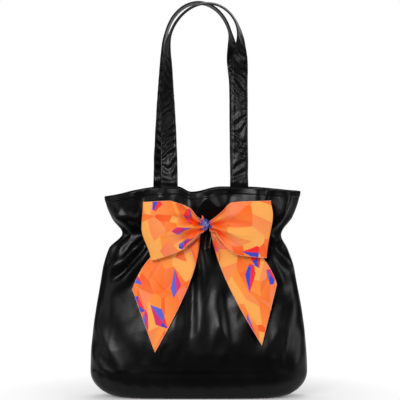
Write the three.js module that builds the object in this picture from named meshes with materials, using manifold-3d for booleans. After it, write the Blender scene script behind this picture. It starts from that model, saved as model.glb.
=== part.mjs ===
// A drawn-neck satin tote with two shoulder handles and a ribbon bow, as the pieces it is sewn from.
// Millimetres, +Z up. The origin is the middle of the flat base, and the bow is on the front, at -Y.
import * as THREE from "three";
import { mergeVertices } from "three/addons/utils/BufferGeometryUtils.js";
import Module from "manifold-3d";

const wasm = await Module();
wasm.setup();

// Cloth thicknesses and clearances
const SATIN = 1.2; // outer satin with its interlining
const FACING = 1.0; // satin band inside the mouth
const LINING = 0.8; // inner bag
const CASING = 0.8; // channel tape sewn round the neck
const DRAW_BAND = 1.6; // ribbon where it lies bunched in the channel
const BOARD = 2.0; // stiffener between the base and the lining's floor
const RIBBON = 0.8; // ribbon of the bow
const STRAP = 2.4; // folded and sewn handle strap
const SEAM = 0.4; // gap between pieces that are sewn together or lie on each other
const CHANNEL_PLAY = 0.8; // room for the ribbon to slide in its channel

// Base
const BASE_HALF_LENGTH = 118;
const BASE_HALF_DEPTH = 34;
const BOARD_INSET = 8;

// Heights of the body's stations, each measured from a neighbour
const BELLY_HEIGHT = 42;
const NECK_HEIGHT = 261;
const SHOULDER_BELOW_NECK = 61;
const GATHER_BELOW_NECK = 23;
const FLARE_ABOVE_NECK = 29;
const COLLAR_HEIGHT = 73; // neck to rim

// Half widths and half depths of the outer cloth at the stations
const BELLY_HALF_WIDTH = 174;
const BELLY_HALF_DEPTH = 47;
const SHOULDER_HALF_WIDTH = 155;
const SHOULDER_HALF_DEPTH = 40;
const GATHER_HALF_WIDTH = 143;
const GATHER_HALF_DEPTH = 33;
const NECK_HALF_WIDTH = 127;
const NECK_HALF_DEPTH = 25;
const FLARE_HALF_WIDTH = 144.5;
const FLARE_HALF_DEPTH = 29;
const RIM_HALF_WIDTH = 157;
const RIM_HALF_DEPTH = 35;
const BASE_SQUARENESS = 3.2; // 2 is an ellipse, more is nearer to a rectangle
const NECK_SQUARENESS = 2;
const BELLY_SHIFT = -2; // the slack body lies a little to the left
const COLLAR_SHIFT = 4; // the collar lies to the right
const SHIFT_HEIGHT = 28; // height below and through the neck over which one becomes the other

// Gathers at the neck and flutes of the collar
const GATHERS = 8; // on each panel
const GATHER_DEPTH = 5;
const GATHER_SPREAD = 34; // height over which the gathers die away
const FLUTES = 3; // on each panel
const FLUTE_DEPTH = 4;
const RIM_DIP = 7; // the rim sinks between the handles
const LEFT_CORNER_DROP = 14.5; // the rim slopes down to the side seams
const RIGHT_CORNER_DROP = 6;
const CORNER_SHARE = 0.3; // share of the rim, from each side seam, that slopes

// Mouth band and draw channel
const FACING_DEPTH = 42;
const CASING_HEIGHT = 30;
const CASING_HEM = 5; // strip at each edge of the channel tape that is sewn flat

// Handles
const STRAP_WIDTH = 27;
const STRAP_EDGE = 1; // width of the strap's rounded edge
const STRAP_TAIL = 29; // sewn length inside the mouth
const HANDLE_DROP = 297; // rim to the crown of the handle
const ARCH_RISE = 70;
const CROWN_GAP = 2; // between the two handles where they meet
const HANDLES = {
  front: { leftFoot: -50, rightFoot: 63, leftSpring: -52, rightSpring: 64, lean: 6, lowered: 2 },
  rear: { leftFoot: -60, rightFoot: 62, leftSpring: -56.5, rightSpring: 53.5, lean: 0, lowered: 0 },
};
const LEFT_TWIST = [0, 1.05]; // where each leg turns edge-on, as shares of the leg's height
const RIGHT_TWIST = [0.8, 1.2];
const LEG_STEPS = 12;
const ARCH_STEPS = 15; // an odd count leaves a level facet under the crown

// Bow
const RIBBON_WIDTH = 90;
const KNOT_X = 12;
const KNOT_RISE = 15; // knot above the neck line
const KNOT_RADIUS = 8.5;
const KNOT_CREASE = 0.5;
const LOOP_REACH = 104; // knot to the outer fold
const LOOP_TUCK = 13; // the fold's lower corner lies nearer to the knot
const LOOP_RISE = 36; // outer fold's upper corner above the knot
const LOOP_PINCH = 7; // half height of the loop at the knot
const LOOP_PUFF = 15;
const LOOP_FOLD = 2.6; // radius of the outer fold
const LOOP_STANDOFF = 6.2; // back of the loop in front of the knot's middle, clear of the tail
const LOOP_ROOT = 0.5; // back of the loop behind the knot's middle, where it leaves the knot
const PLEATS = 3;
const PLEAT_DEPTH = 4;
const TAIL_SETBACK = 4.6; // tail behind the knot's middle where it leaves the knot
const TAIL_CLEARANCE = 4.5; // tail in front of the cloth
const TAIL_FOLD = 2.5; // depth of the tail's lengthwise fold
const LEFT_TAIL = { tip: [83, -200], corner: [119, -101] };
const RIGHT_TAIL = { tip: [86, -189], corner: [110, -93] };
const TAIL_INNER_SHARES = [[0.07, 0.29], [0.36, 0.53]]; // inner edge's handles, as shares of the tip
const TAIL_OUTER_SHARES = [[0.59, 0.2], [0.88, 0.55]]; // outer edge's handles, as shares of the corner
const LEAD_HALF_SPACING = 5; // ribbon ends come out each side of the knot
const LEAD_WIDTH = 3;
const LEAD_HEIGHT = 10;
const SLIT_CLEARANCE = 0.4;

// Grid counts
const COLUMNS = GATHERS * 4;
const CORNER_ROWS = 4;

// Heights worked out from the driving dimensions
const SHOULDER_HEIGHT = NECK_HEIGHT - SHOULDER_BELOW_NECK;
const GATHER_HEIGHT = NECK_HEIGHT - GATHER_BELOW_NECK;
const FLARE_HEIGHT = NECK_HEIGHT + FLARE_ABOVE_NECK;
const RIM_HEIGHT = NECK_HEIGHT + COLLAR_HEIGHT;
const CASING_BOTTOM = NECK_HEIGHT - CASING_HEIGHT / 2;
const CASING_TOP = NECK_HEIGHT + CASING_HEIGHT / 2;
const FACING_BOTTOM = RIM_HEIGHT - FACING_DEPTH;
const STRAP_BOTTOM = RIM_HEIGHT - STRAP_TAIL;
const KNOT_Z = NECK_HEIGHT + KNOT_RISE;

// Depths of the layers inside the outer cloth's face
const INSIDE_SATIN = SATIN + SEAM;
const INSIDE_FACING = INSIDE_SATIN + FACING + SEAM;
const INSIDE_BAND = INSIDE_SATIN + DRAW_BAND + CHANNEL_PLAY;
const INSIDE_CASING = INSIDE_BAND + CASING + SEAM;
const INSIDE_BOARD = INSIDE_SATIN + BOARD + SEAM;

const finish = (color, roughness) => new THREE.MeshStandardMaterial({ color, roughness, metalness: 0 });
const SATIN_BLACK = finish(0x101013, 0.38);
const LINING_BLACK = finish(0x17171a, 0.6);
const TAPE_BLACK = finish(0x141416, 0.8);
const BOARD_GREY = finish(0x8a8a86, 0.9);
const RIBBON_ORANGE = finish(0xff7a24, 0.5);
const RIBBON_BLUE = finish(0x3a49c4, 0.5);

const clamp01 = (x) => Math.min(1, Math.max(0, x));
const smooth = (x) => clamp01(x) ** 2 * (3 - 2 * clamp01(x));
const mix = (a, b, share) => a + (b - a) * share;
const steps = (count) => Array.from({ length: count + 1 }, (_, i) => i / count);

// A smooth curve through points, with no overshoot between them and a level start
function curveThrough(xs, ys) {
  const last = xs.length - 1;
  const secants = xs.slice(1).map((x, i) => (ys[i + 1] - ys[i]) / (x - xs[i]));
  const slopes = ys.map((_, i) => {
    if (i === 0) return 0;
    if (i === last) return secants[last - 1] / 2;
    const [before, after] = [secants[i - 1], secants[i]];
    return before * after <= 0 ? 0 : (2 * before * after) / (before + after);
  });
  return (x) => {
    const i = Math.max(0, Math.min(last - 1, xs.findLastIndex((known) => known <= x)));
    const width = xs[i + 1] - xs[i];
    const t = clamp01((x - xs[i]) / width);
    const rise = ys[i] * (1 + 2 * t) * (1 - t) ** 2 + ys[i + 1] * t * t * (3 - 2 * t);
    return rise + width * (slopes[i] * t * (1 - t) ** 2 - slopes[i + 1] * t * t * (1 - t));
  };
}

const stationHeights = [
  BELLY_HEIGHT, SHOULDER_HEIGHT, GATHER_HEIGHT, NECK_HEIGHT, FLARE_HEIGHT, RIM_HEIGHT,
];
const halfWidthAt = curveThrough(stationHeights, [
  BELLY_HALF_WIDTH, SHOULDER_HALF_WIDTH, GATHER_HALF_WIDTH,
  NECK_HALF_WIDTH, FLARE_HALF_WIDTH, RIM_HALF_WIDTH,
]);
const halfDepthAt = curveThrough(stationHeights, [
  BELLY_HALF_DEPTH, SHOULDER_HALF_DEPTH, GATHER_HALF_DEPTH,
  NECK_HALF_DEPTH, FLARE_HALF_DEPTH, RIM_HALF_DEPTH,
]);

// The cloth's section at a row, taken a depth inside its outer face.
// Rows from -1 to 0 round the bottom corner, and rows above 0 are heights.
function sectionAt(row, depth) {
  if (row > 0) {
    const height = Math.max(row, BELLY_HEIGHT);
    const share = clamp01((height - BELLY_HEIGHT) / (NECK_HEIGHT - BELLY_HEIGHT));
    return {
      halfWidth: halfWidthAt(height) - depth,
      halfDepth: halfDepthAt(height) - depth,
      height,
      squareness: mix(BASE_SQUARENESS, NECK_SQUARENESS, Math.sqrt(share)),
    };
  }
  const turn = ((1 + row) * Math.PI) / 2;
  const [out, up] = [Math.sin(turn), Math.cos(turn)];
  return {
    halfWidth: mix(BASE_HALF_LENGTH, BELLY_HALF_WIDTH, out) - depth * out,
    halfDepth: mix(BASE_HALF_DEPTH, BELLY_HALF_DEPTH, out) - depth * out,
    height: BELLY_HEIGHT * (1 - up) + depth * up,
    squareness: BASE_SQUARENESS,
  };
}

// Angles that space the columns evenly round the neck, from the left side seam to the right one
const angleAround = (() => {
  const samples = steps(720).map((share) => share * Math.PI);
  const lengths = [0];
  samples.slice(1).forEach((angle, i) => {
    const across = NECK_HALF_WIDTH * (Math.cos(angle) - Math.cos(samples[i]));
    const along = NECK_HALF_DEPTH * (Math.sin(angle) - Math.sin(samples[i]));
    lengths.push(lengths[i] + Math.hypot(across, along));
  });
  return (around) => {
    const target = clamp01(around) * lengths.at(-1);
    const i = Math.min(samples.length - 2, lengths.findLastIndex((length) => length <= target));
    return mix(samples[i], samples[i + 1], (target - lengths[i]) / (lengths[i + 1] - lengths[i]));
  };
})();

const collarShare = (height) => smooth((height - NECK_HEIGHT) / COLLAR_HEIGHT);
const gatherShare = (height) => Math.exp(-(((height - NECK_HEIGHT) / GATHER_SPREAD) ** 2));

// How far the gathers swell the outer cloth beyond its plain section
function gatherAt(around, row) {
  if (row <= 0) return 0;
  return GATHER_DEPTH * gatherShare(row) * (0.5 - 0.5 * Math.cos(2 * Math.PI * GATHERS * around));
}

// How far the rim lies below its full height
function rimDropAt(around) {
  const dip = RIM_DIP * Math.cos(Math.PI * clamp01(Math.abs(around - 0.5) / 0.14) * 0.5) ** 2;
  const left = LEFT_CORNER_DROP * smooth(1 - around / CORNER_SHARE);
  const right = RIGHT_CORNER_DROP * smooth(1 - (1 - around) / CORNER_SHARE);
  return dip + left + right;
}

// How far the cloth lies to the right of the bag's middle
function shiftAt(row) {
  if (row <= 0) return BELLY_SHIFT * Math.sin(((1 + row) * Math.PI) / 2);
  return mix(BELLY_SHIFT, COLLAR_SHIFT, smooth((row - GATHER_HEIGHT) / SHIFT_HEIGHT));
}

// A point of the front half of the bag, a depth inside the outer cloth's plain face
function clothPoint(around, row, depth) {
  const { halfWidth, halfDepth, height, squareness } = sectionAt(row, depth);
  const angle = angleAround(around);
  const [c, s] = [-Math.cos(angle), Math.sin(angle)];
  const fold = 2 / squareness;
  const flute = 0.5 - 0.5 * Math.cos(2 * Math.PI * FLUTES * around);
  const lift = row > 0 ? collarShare(row) : 0;
  const x = halfWidth * Math.sign(c) * Math.abs(c) ** fold + shiftAt(row);
  const y = -halfDepth * Math.max(0, s) ** fold - FLUTE_DEPTH * flute * lift;
  return new THREE.Vector3(x, y - SEAM / 2, height - rimDropAt(around) * lift);
}

// The share round the front at which the cloth has a given x
function aroundAt(x, row, depth) {
  let [low, high] = [0, 1];
  for (let i = 0; i < 40; i++) {
    const middle = (low + high) / 2;
    if (clothPoint(middle, row, depth).x < x) low = middle;
    else high = middle;
  }
  return (low + high) / 2;
}

const frontFaceY = (x, row) => clothPoint(aroundAt(x, row, 0), row, 0).y;

// Turns a closed mesh's faces outwards
function facingOut(positions, index) {
  const geometry = new THREE.BufferGeometry();
  const corner = (i) => positions[i];
  let volume = 0;
  for (let i = 0; i < index.length; i += 3) {
    volume += corner(index[i]).dot(corner(index[i + 1]).clone().cross(corner(index[i + 2])));
  }
  geometry.setFromPoints(positions);
  geometry.setIndex(volume < 0 ? index.slice().reverse() : index);
  geometry.computeVertexNormals();
  return geometry;
}

// A closed sheet between two matching grids of points
function sheetBetween(outer, inner) {
  const [rows, columns] = [outer.length, outer[0].length];
  const at = (face, r, c) => face * rows * columns + r * columns + c;
  const index = [];
  const quad = (a, b, c, d) => index.push(a, b, c, a, c, d);
  for (let r = 0; r + 1 < rows; r++) {
    for (let c = 0; c + 1 < columns; c++) {
      quad(at(0, r, c), at(0, r, c + 1), at(0, r + 1, c + 1), at(0, r + 1, c));
      quad(at(1, r, c), at(1, r + 1, c), at(1, r + 1, c + 1), at(1, r, c + 1));
    }
    const end = columns - 1;
    quad(at(0, r, 0), at(0, r + 1, 0), at(1, r + 1, 0), at(1, r, 0));
    quad(at(0, r, end), at(1, r, end), at(1, r + 1, end), at(0, r + 1, end));
  }
  const top = rows - 1;
  for (let c = 0; c + 1 < columns; c++) {
    quad(at(0, 0, c), at(1, 0, c), at(1, 0, c + 1), at(0, 0, c + 1));
    quad(at(0, top, c), at(0, top, c + 1), at(1, top, c + 1), at(1, top, c));
  }
  return facingOut([...outer.flat(), ...inner.flat()], index);
}

// A sheet of even thickness on both sides of a grid of points
function thickened(grid, thickness) {
  const [rows, columns] = [grid.length, grid[0].length];
  const normalAt = (r, c) => {
    const up = grid[Math.min(r + 1, rows - 1)][c].clone().sub(grid[Math.max(r - 1, 0)][c]);
    const across = grid[r][Math.min(c + 1, columns - 1)].clone().sub(grid[r][Math.max(c - 1, 0)]);
    return across.cross(up).normalize();
  };
  const offset = (share) => grid.map((line, r) => line.map((point, c) => (
    point.clone().addScaledVector(normalAt(r, c), share * thickness)
  )));
  return sheetBetween(offset(0.5), offset(-0.5));
}

// A closed bar through matching rings of points, with flat ends
function barThrough(rings) {
  const sides = rings[0].length;
  const index = [];
  rings.slice(1).forEach((_, r) => {
    for (let i = 0; i < sides; i++) {
      const [a, b] = [r * sides + i, r * sides + ((i + 1) % sides)];
      index.push(a, b, b + sides, a, b + sides, a + sides);
    }
  });
  const end = (rings.length - 1) * sides;
  for (let i = 1; i + 1 < sides; i++) {
    index.push(0, i + 1, i, end, end + i, end + i + 1);
  }
  return facingOut(rings.flat(), index);
}

function toSolid(geometry) {
  const bare = new THREE.BufferGeometry().setAttribute("position", geometry.getAttribute("position"));
  bare.setIndex(geometry.index);
  const merged = mergeVertices(bare, 1e-4);
  const mesh = new wasm.Mesh({
    numProp: 3,
    vertProperties: merged.attributes.position.array,
    triVerts: new Uint32Array(merged.index.array),
  });
  return new wasm.Manifold(mesh);
}

function toGeometry(solid) {
  const { vertProperties, triVerts } = solid.getMesh();
  const geometry = new THREE.BufferGeometry();
  geometry.setAttribute("position", new THREE.BufferAttribute(vertProperties, 3));
  geometry.setIndex(new THREE.BufferAttribute(triVerts, 1));
  geometry.computeVertexNormals();
  return geometry;
}

function boxBetween(low, high) {
  const size = high.clone().sub(low);
  const box = new THREE.BoxGeometry(size.x, size.y, size.z);
  return box.translate(...low.clone().add(high).multiplyScalar(0.5).toArray());
}

// Rows that every layer shares, so that the layers' facets lie parallel
const cornerRows = steps(CORNER_ROWS).map((share) => share - 1);
const wallRows = [
  mix(BELLY_HEIGHT, SHOULDER_HEIGHT, 0.25), mix(BELLY_HEIGHT, SHOULDER_HEIGHT, 0.5),
  mix(BELLY_HEIGHT, SHOULDER_HEIGHT, 0.75), SHOULDER_HEIGHT, mix(SHOULDER_HEIGHT, GATHER_HEIGHT, 0.6),
  CASING_BOTTOM, CASING_BOTTOM + CASING_HEM, NECK_HEIGHT, CASING_TOP - CASING_HEM, CASING_TOP,
  FACING_BOTTOM, STRAP_BOTTOM, mix(STRAP_BOTTOM, RIM_HEIGHT, 0.5), RIM_HEIGHT,
].sort((a, b) => a - b);
const allRows = [...cornerRows, ...wallRows];
const rowsBetween = (low, high) => allRows.filter((row) => row >= low && row <= high);
const fineColumns = steps(COLUMNS);
const plainColumns = steps(COLUMNS / 2);

// A layer of the front half, between two depths inside the outer cloth
function layer(columns, rows, outerDepth, innerDepth) {
  const grid = (depth) => rows.map((row) => columns.map((around) => (
    clothPoint(around, row, depth(around, row))
  )));
  return sheetBetween(grid(outerDepth), grid(innerDepth));
}

function outerPanel() {
  const outer = (around, row) => -gatherAt(around, row);
  return layer(fineColumns, allRows, outer, (around, row) => SATIN + outer(around, row));
}

function mouthFacing() {
  const rows = rowsBetween(FACING_BOTTOM, RIM_HEIGHT);
  return layer(plainColumns, rows, () => INSIDE_SATIN, () => INSIDE_SATIN + FACING);
}

// The channel tape lies flat on the cloth at its two hems and stands off over the ribbon between them
function casingTape() {
  const flat = (row) => row <= CASING_BOTTOM || row >= CASING_TOP;
  const outer = (_, row) => (flat(row) ? INSIDE_SATIN : INSIDE_BAND);
  const rows = rowsBetween(CASING_BOTTOM, CASING_TOP);
  return layer(plainColumns, rows, outer, (around, row) => outer(around, row) + CASING);
}

function liningPanel() {
  const outer = (_, row) => {
    if (row <= 0) return mix(INSIDE_BOARD, INSIDE_SATIN, Math.sin(((1 + row) * Math.PI) / 2));
    return row >= CASING_BOTTOM && row <= CASING_TOP ? INSIDE_CASING : INSIDE_SATIN;
  };
  const top = FACING_BOTTOM - SEAM;
  const rows = [...allRows.filter((row) => row < top - SEAM), top];
  return layer(plainColumns, rows, outer, (around, row) => outer(around, row) + LINING);
}

// A flat plate with the base's outline, drawn in by an inset
function basePlate(columns, inset, bottom, thickness) {
  const front = columns.map((around) => {
    const [c, s] = [-Math.cos(angleAround(around)), Math.sin(angleAround(around))];
    const fold = 2 / BASE_SQUARENESS;
    const x = (BASE_HALF_LENGTH - inset) * Math.sign(c) * Math.abs(c) ** fold;
    return new THREE.Vector2(x, -(BASE_HALF_DEPTH - inset) * Math.max(0, s) ** fold);
  });
  const back = front.slice(1, -1).reverse().map((point) => new THREE.Vector2(point.x, -point.y));
  const plate = new THREE.ExtrudeGeometry(new THREE.Shape([...front, ...back]), {
    depth: thickness, bevelEnabled: false,
  });
  return plate.translate(0, 0, bottom);
}

// The knot, a ball, is seated on the frontmost gathers behind it
const knotSeats = [-0.8, -0.6, -0.4, -0.2, 0, 0.2, 0.4, 0.6, 0.8].map((share) => {
  const x = KNOT_X + share * KNOT_RADIUS;
  const cloth = frontFaceY(x, KNOT_Z) - gatherAt(aroundAt(x, KNOT_Z, 0), KNOT_Z);
  return cloth - SEAM - KNOT_RADIUS * Math.sqrt(1 - share * share);
});
const KNOT_Y = Math.min(...knotSeats);
const KNOT = new THREE.Vector3(KNOT_X, KNOT_Y, KNOT_Z);

// The ribbon's two ends come out of the channel beside each other, behind the knot
const leads = [-1, 1].map((side) => {
  const middle = KNOT_X + side * LEAD_HALF_SPACING;
  const top = CASING_TOP - CASING_HEM;
  const nearest = Math.hypot(LEAD_HALF_SPACING - LEAD_WIDTH / 2, KNOT_Z - top);
  const front = KNOT_Y + Math.sqrt(Math.max(0, (KNOT_RADIUS + SEAM) ** 2 - nearest ** 2));
  const bandFaces = [top - LEAD_HEIGHT, NECK_HEIGHT, top].map((row) => (
    clothPoint(aroundAt(middle, row, INSIDE_SATIN), row, INSIDE_SATIN).y
  ));
  const back = Math.min(...bandFaces) + DRAW_BAND / 2;
  return {
    around: aroundAt(middle - side * (LEAD_WIDTH / 2), NECK_HEIGHT, INSIDE_SATIN),
    low: new THREE.Vector3(middle - LEAD_WIDTH / 2, front, top - LEAD_HEIGHT),
    high: new THREE.Vector3(middle + LEAD_WIDTH / 2, back, top),
  };
});

// The front panel has a worked slit for each ribbon end
function slitPanel() {
  const margin = new THREE.Vector3(SLIT_CLEARANCE, 0, SLIT_CLEARANCE);
  return leads.reduce((panel, { low, high }) => (
    panel.subtract(toSolid(boxBetween(low.clone().sub(margin), high.clone().add(margin))))
  ), toSolid(outerPanel()));
}

// The ribbon's hidden run: round the back of the neck from one end to the other
function drawBand() {
  const rows = rowsBetween(CASING_BOTTOM + CASING_HEM, CASING_TOP - CASING_HEM);
  const [left, right] = leads.map((lead) => lead.around);
  const inFront = plainColumns.filter((around) => around > 0 && around < 1).reverse();
  const stops = (list, back) => list.map((around) => ({ around, back }));
  const path = [
    ...stops([left, ...inFront.filter((around) => around < left - 0.01)], false),
    ...stops(plainColumns, true),
    ...stops([...inFront.filter((around) => around > right + 0.01), right], false),
  ];
  const grid = (depth) => rows.map((row) => path.map(({ around, back }) => {
    const point = clothPoint(around, row, depth);
    if (back) point.y = -point.y;
    if (back && (around === 0 || around === 1)) point.y = 0;
    return point;
  }));
  const band = toSolid(sheetBetween(grid(INSIDE_SATIN), grid(INSIDE_SATIN + DRAW_BAND)));
  return leads.reduce((run, { low, high }) => run.add(toSolid(boxBetween(low, high))), band);
}

// A ball of ribbon with wrap creases pressed into it
function knotBall() {
  const sphere = new THREE.SphereGeometry(KNOT_RADIUS, 20, 12);
  const ball = mergeVertices(sphere.deleteAttribute("uv").deleteAttribute("normal"));
  const places = ball.getAttribute("position");
  for (let i = 0; i < places.count; i++) {
    const place = new THREE.Vector3().fromBufferAttribute(places, i);
    const turn = Math.atan2(place.z, place.x);
    const crease = KNOT_CREASE * (0.5 + 0.5 * Math.cos(5 * turn + place.y));
    place.setLength(KNOT_RADIUS - crease * (1 - (place.y / KNOT_RADIUS) ** 2));
    places.setXYZ(i, place.x, place.y, place.z);
  }
  ball.computeVertexNormals();
  return ball.translate(...KNOT.toArray());
}

// One loop of the bow: out from the knot in front, round the fold and back behind.
// Side is -1 for the left and 1 for the right.
function bowLoop(side) {
  const start = KNOT_RADIUS + SEAM;
  const fall = RIBBON_WIDTH - LOOP_RISE;
  const place = (out, v, forward) => {
    const top = mix(LOOP_PINCH, LOOP_RISE, Math.sin((Math.PI / 2) * clamp01(out / 0.55)));
    const bottom = mix(LOOP_PINCH, fall, clamp01(out) ** 0.85);
    const reach = LOOP_REACH - LOOP_TUCK * ((1 - v) / 2) ** 2;
    const z = mix(-bottom, top, (v + 1) / 2);
    const y = mix(LOOP_ROOT, -LOOP_STANDOFF, smooth(out / 0.3)) - forward;
    return new THREE.Vector3(side * mix(start, reach, out), y, z).add(KNOT);
  };
  const across = steps(10).map((share) => 2 * share - 1);
  const front = [0, 0.08, 0.17, 0.28, 0.42, 0.58, 0.78, 0.96].map((out) => across.map((v) => {
    const puff = LOOP_PUFF * Math.sin(Math.PI * clamp01(out) ** 0.8) * (1 - 0.35 * v * v);
    const pleat = PLEAT_DEPTH * 9 * out * (1 - out) ** 4 * Math.cos(PLEATS * Math.PI * v);
    return place(out, v, 2 * LOOP_FOLD + puff - pleat);
  }));
  const fold = steps(4).map((share) => across.map((v) => {
    const turn = Math.PI * share;
    const point = place(1, v, LOOP_FOLD + LOOP_FOLD * Math.cos(turn));
    point.x -= side * LOOP_FOLD * (1 - Math.sin(turn));
    return point;
  }));
  const back = [0.9, 0.7, 0.45, 0.2, 0].map((out) => across.map((v) => place(out, v, 0)));
  return thickened([...front, ...fold, ...back], RIBBON);
}

// One tail of the bow: from under the knot to its slanting cut, lying over the front of the bag
function bowTail(side, { tip, corner }) {
  const from = (angle) => {
    const radius = KNOT_RADIUS - 0.5;
    return new THREE.Vector2(radius * Math.cos(angle), radius * Math.sin(angle));
  };
  const edge = (start, shares, [x, z]) => new THREE.CubicBezierCurve(
    start,
    ...shares.map(([sx, sz]) => new THREE.Vector2(sx * x, sz * z)),
    new THREE.Vector2(x, z),
  );
  const inner = edge(from((-75 * Math.PI) / 180), TAIL_INNER_SHARES, tip);
  const outer = edge(from((-28 * Math.PI) / 180), TAIL_OUTER_SHARES, corner);
  const across = steps(8);
  const grid = [0, 0.05, 0.12, 0.21, 0.32, 0.45, 0.58, 0.72, 0.86, 1].map((along) => across.map((share) => {
    const flat = inner.getPoint(along).lerp(outer.getPoint(along), share);
    const x = KNOT_X + side * flat.x;
    const z = KNOT_Z + flat.y;
    const onBag = frontFaceY(x, z) - GATHER_DEPTH * gatherShare(z) - TAIL_CLEARANCE;
    const fold = TAIL_FOLD * (0.5 - 0.5 * Math.cos(2 * Math.PI * share)) * smooth(along / 0.3);
    return new THREE.Vector3(x, mix(KNOT_Y + TAIL_SETBACK, onBag - fold, smooth(along / 0.3)), z);
  }));
  return thickened(grid, RIBBON);
}

// The sewn end of a handle, flat on the inside of the mouth band
function strapEnd(x) {
  const half = STRAP_WIDTH / 2;
  const columns = steps(3).map((share) => (
    aroundAt(mix(x - half, x + half, share), RIM_HEIGHT, INSIDE_FACING)
  ));
  const rows = rowsBetween(STRAP_BOTTOM, RIM_HEIGHT);
  return layer(columns, rows, () => INSIDE_FACING, () => INSIDE_FACING + STRAP);
}

// The middle of the strap's foot, where it leaves the mouth
function strapFoot(x) {
  const depth = INSIDE_FACING + STRAP / 2;
  const point = clothPoint(aroundAt(x, RIM_HEIGHT, depth), RIM_HEIGHT, depth);
  point.z = RIM_HEIGHT + SEAM;
  return point;
}

// A handle in its front-half place: two legs that lean in and turn edge-on, joined by an arch
function handleLoop({ leftFoot, rightFoot, leftSpring, rightSpring, lean, lowered }) {
  const crown = RIM_HEIGHT + HANDLE_DROP - lowered;
  const spring = crown - ARCH_RISE;
  const crownY = -(STRAP_WIDTH + CROWN_GAP) / 2;
  const [middle, half] = [(leftSpring + rightSpring) / 2, (rightSpring - leftSpring) / 2];
  const leg = (footX, springX) => steps(LEG_STEPS).map((share) => {
    const point = strapFoot(footX).lerp(new THREE.Vector3(springX, crownY, spring), share);
    return { point, climb: share };
  });
  const arch = steps(ARCH_STEPS).map((share) => {
    const [c, s] = [Math.cos(Math.PI * share), Math.sin(Math.PI * share)];
    const point = new THREE.Vector3(middle - half * c + lean * s, crownY, spring + ARCH_RISE * s);
    return { point, climb: 1 + (ARCH_RISE * s) / (spring - RIM_HEIGHT) };
  });
  const left = leg(leftFoot, leftSpring);
  const right = leg(rightFoot, rightSpring).reverse();
  const path = [...left, ...arch.slice(1, -1), ...right];
  const twistOf = ({ climb }, i) => {
    const [from, to] = i < path.length / 2 ? LEFT_TWIST : RIGHT_TWIST;
    return (Math.PI / 2) * smooth((climb - from) / (to - from));
  };
  const depthwise = new THREE.Vector3(0, 1, 0);
  const [w, e, t] = [STRAP_WIDTH / 2, STRAP_WIDTH / 2 - STRAP_EDGE, STRAP / 2];
  const section = [[-w, 0], [-e, -t], [0, -t], [e, -t], [w, 0], [e, t], [0, t], [-e, t]];
  const rings = path.map((stop, i) => {
    const before = path[Math.max(0, i - 1)].point;
    const after = path[Math.min(path.length - 1, i + 1)].point;
    const level = i === 0 || i === path.length - 1;
    const tangent = level ? new THREE.Vector3(0, 0, i ? -1 : 1) : after.clone().sub(before).normalize();
    const outward = tangent.clone().cross(depthwise).normalize();
    const twist = twistOf(stop, i);
    const wide = outward.multiplyScalar(Math.cos(twist)).addScaledVector(depthwise, Math.sin(twist));
    wide.addScaledVector(tangent, -wide.dot(tangent)).normalize();
    const thick = tangent.clone().cross(wide);
    return section.map(([a, b]) => stop.point.clone().addScaledVector(wide, a).addScaledVector(thick, b));
  });
  return barThrough(rings);
}

const tote = new THREE.Group();
const frontHalf = new THREE.Group();
const backHalf = new THREE.Group();
backHalf.scale.y = -1; // the back is the front's mirror image
tote.add(frontHalf, backHalf);

function addPiece(parent, name, geometry, material) {
  const piece = new THREE.Mesh(geometry, material);
  piece.name = name;
  parent.add(piece);
}

// Base
addPiece(tote, "base_panel", basePlate(fineColumns, SEAM, 0, SATIN), SATIN_BLACK);
addPiece(tote, "base_board", basePlate(plainColumns, BOARD_INSET, INSIDE_SATIN, BOARD), BOARD_GREY);
addPiece(tote, "lining_floor", basePlate(plainColumns, SEAM, INSIDE_BOARD, LINING), LINING_BLACK);

// Outer cloth, mouth bands, channel tapes and inner bag
addPiece(frontHalf, "front_panel", toGeometry(slitPanel()), SATIN_BLACK);
addPiece(backHalf, "back_panel", outerPanel(), SATIN_BLACK);
for (const [half, side] of [[frontHalf, "front"], [backHalf, "back"]]) {
  addPiece(half, `${side}_facing`, mouthFacing(), SATIN_BLACK);
  addPiece(half, `${side}_casing`, casingTape(), TAPE_BLACK);
  addPiece(half, `${side}_lining`, liningPanel(), LINING_BLACK);
}

// Handles and their sewn ends
for (const [half, side] of [[frontHalf, "front"], [backHalf, "rear"]]) {
  const handle = HANDLES[side];
  addPiece(half, `${side}_handle`, handleLoop(handle), SATIN_BLACK);
  addPiece(half, `${side}_left_strap_end`, strapEnd(handle.leftFoot), SATIN_BLACK);
  addPiece(half, `${side}_right_strap_end`, strapEnd(handle.rightFoot), SATIN_BLACK);
}

// Ribbon: its hidden run, the knot, and the bow's loops and tails
addPiece(tote, "ribbon_neck_run", toGeometry(drawBand()), RIBBON_ORANGE);
addPiece(tote, "bow_knot", knotBall(), RIBBON_BLUE);
addPiece(tote, "bow_left_loop", bowLoop(-1), RIBBON_ORANGE);
addPiece(tote, "bow_right_loop", bowLoop(1), RIBBON_ORANGE);
addPiece(tote, "bow_left_tail", bowTail(-1, LEFT_TAIL), RIBBON_ORANGE);
addPiece(tote, "bow_right_tail", bowTail(1, RIGHT_TAIL), RIBBON_ORANGE);

export default tote;
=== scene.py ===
# %% [markdown]
# # A satin tote drawn in at the neck, with a ribbon bow
# The real bag is sewn from black satin: two panels on a flat base, a channel round the neck that a broad
# printed ribbon draws in, a flared collar above it and two shoulder straps sewn inside the mouth. The packed
# model gives every piece's size and place, and this script dresses it in cloth. All lengths are metres.

# %% Load the fixed frame
import math

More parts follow.
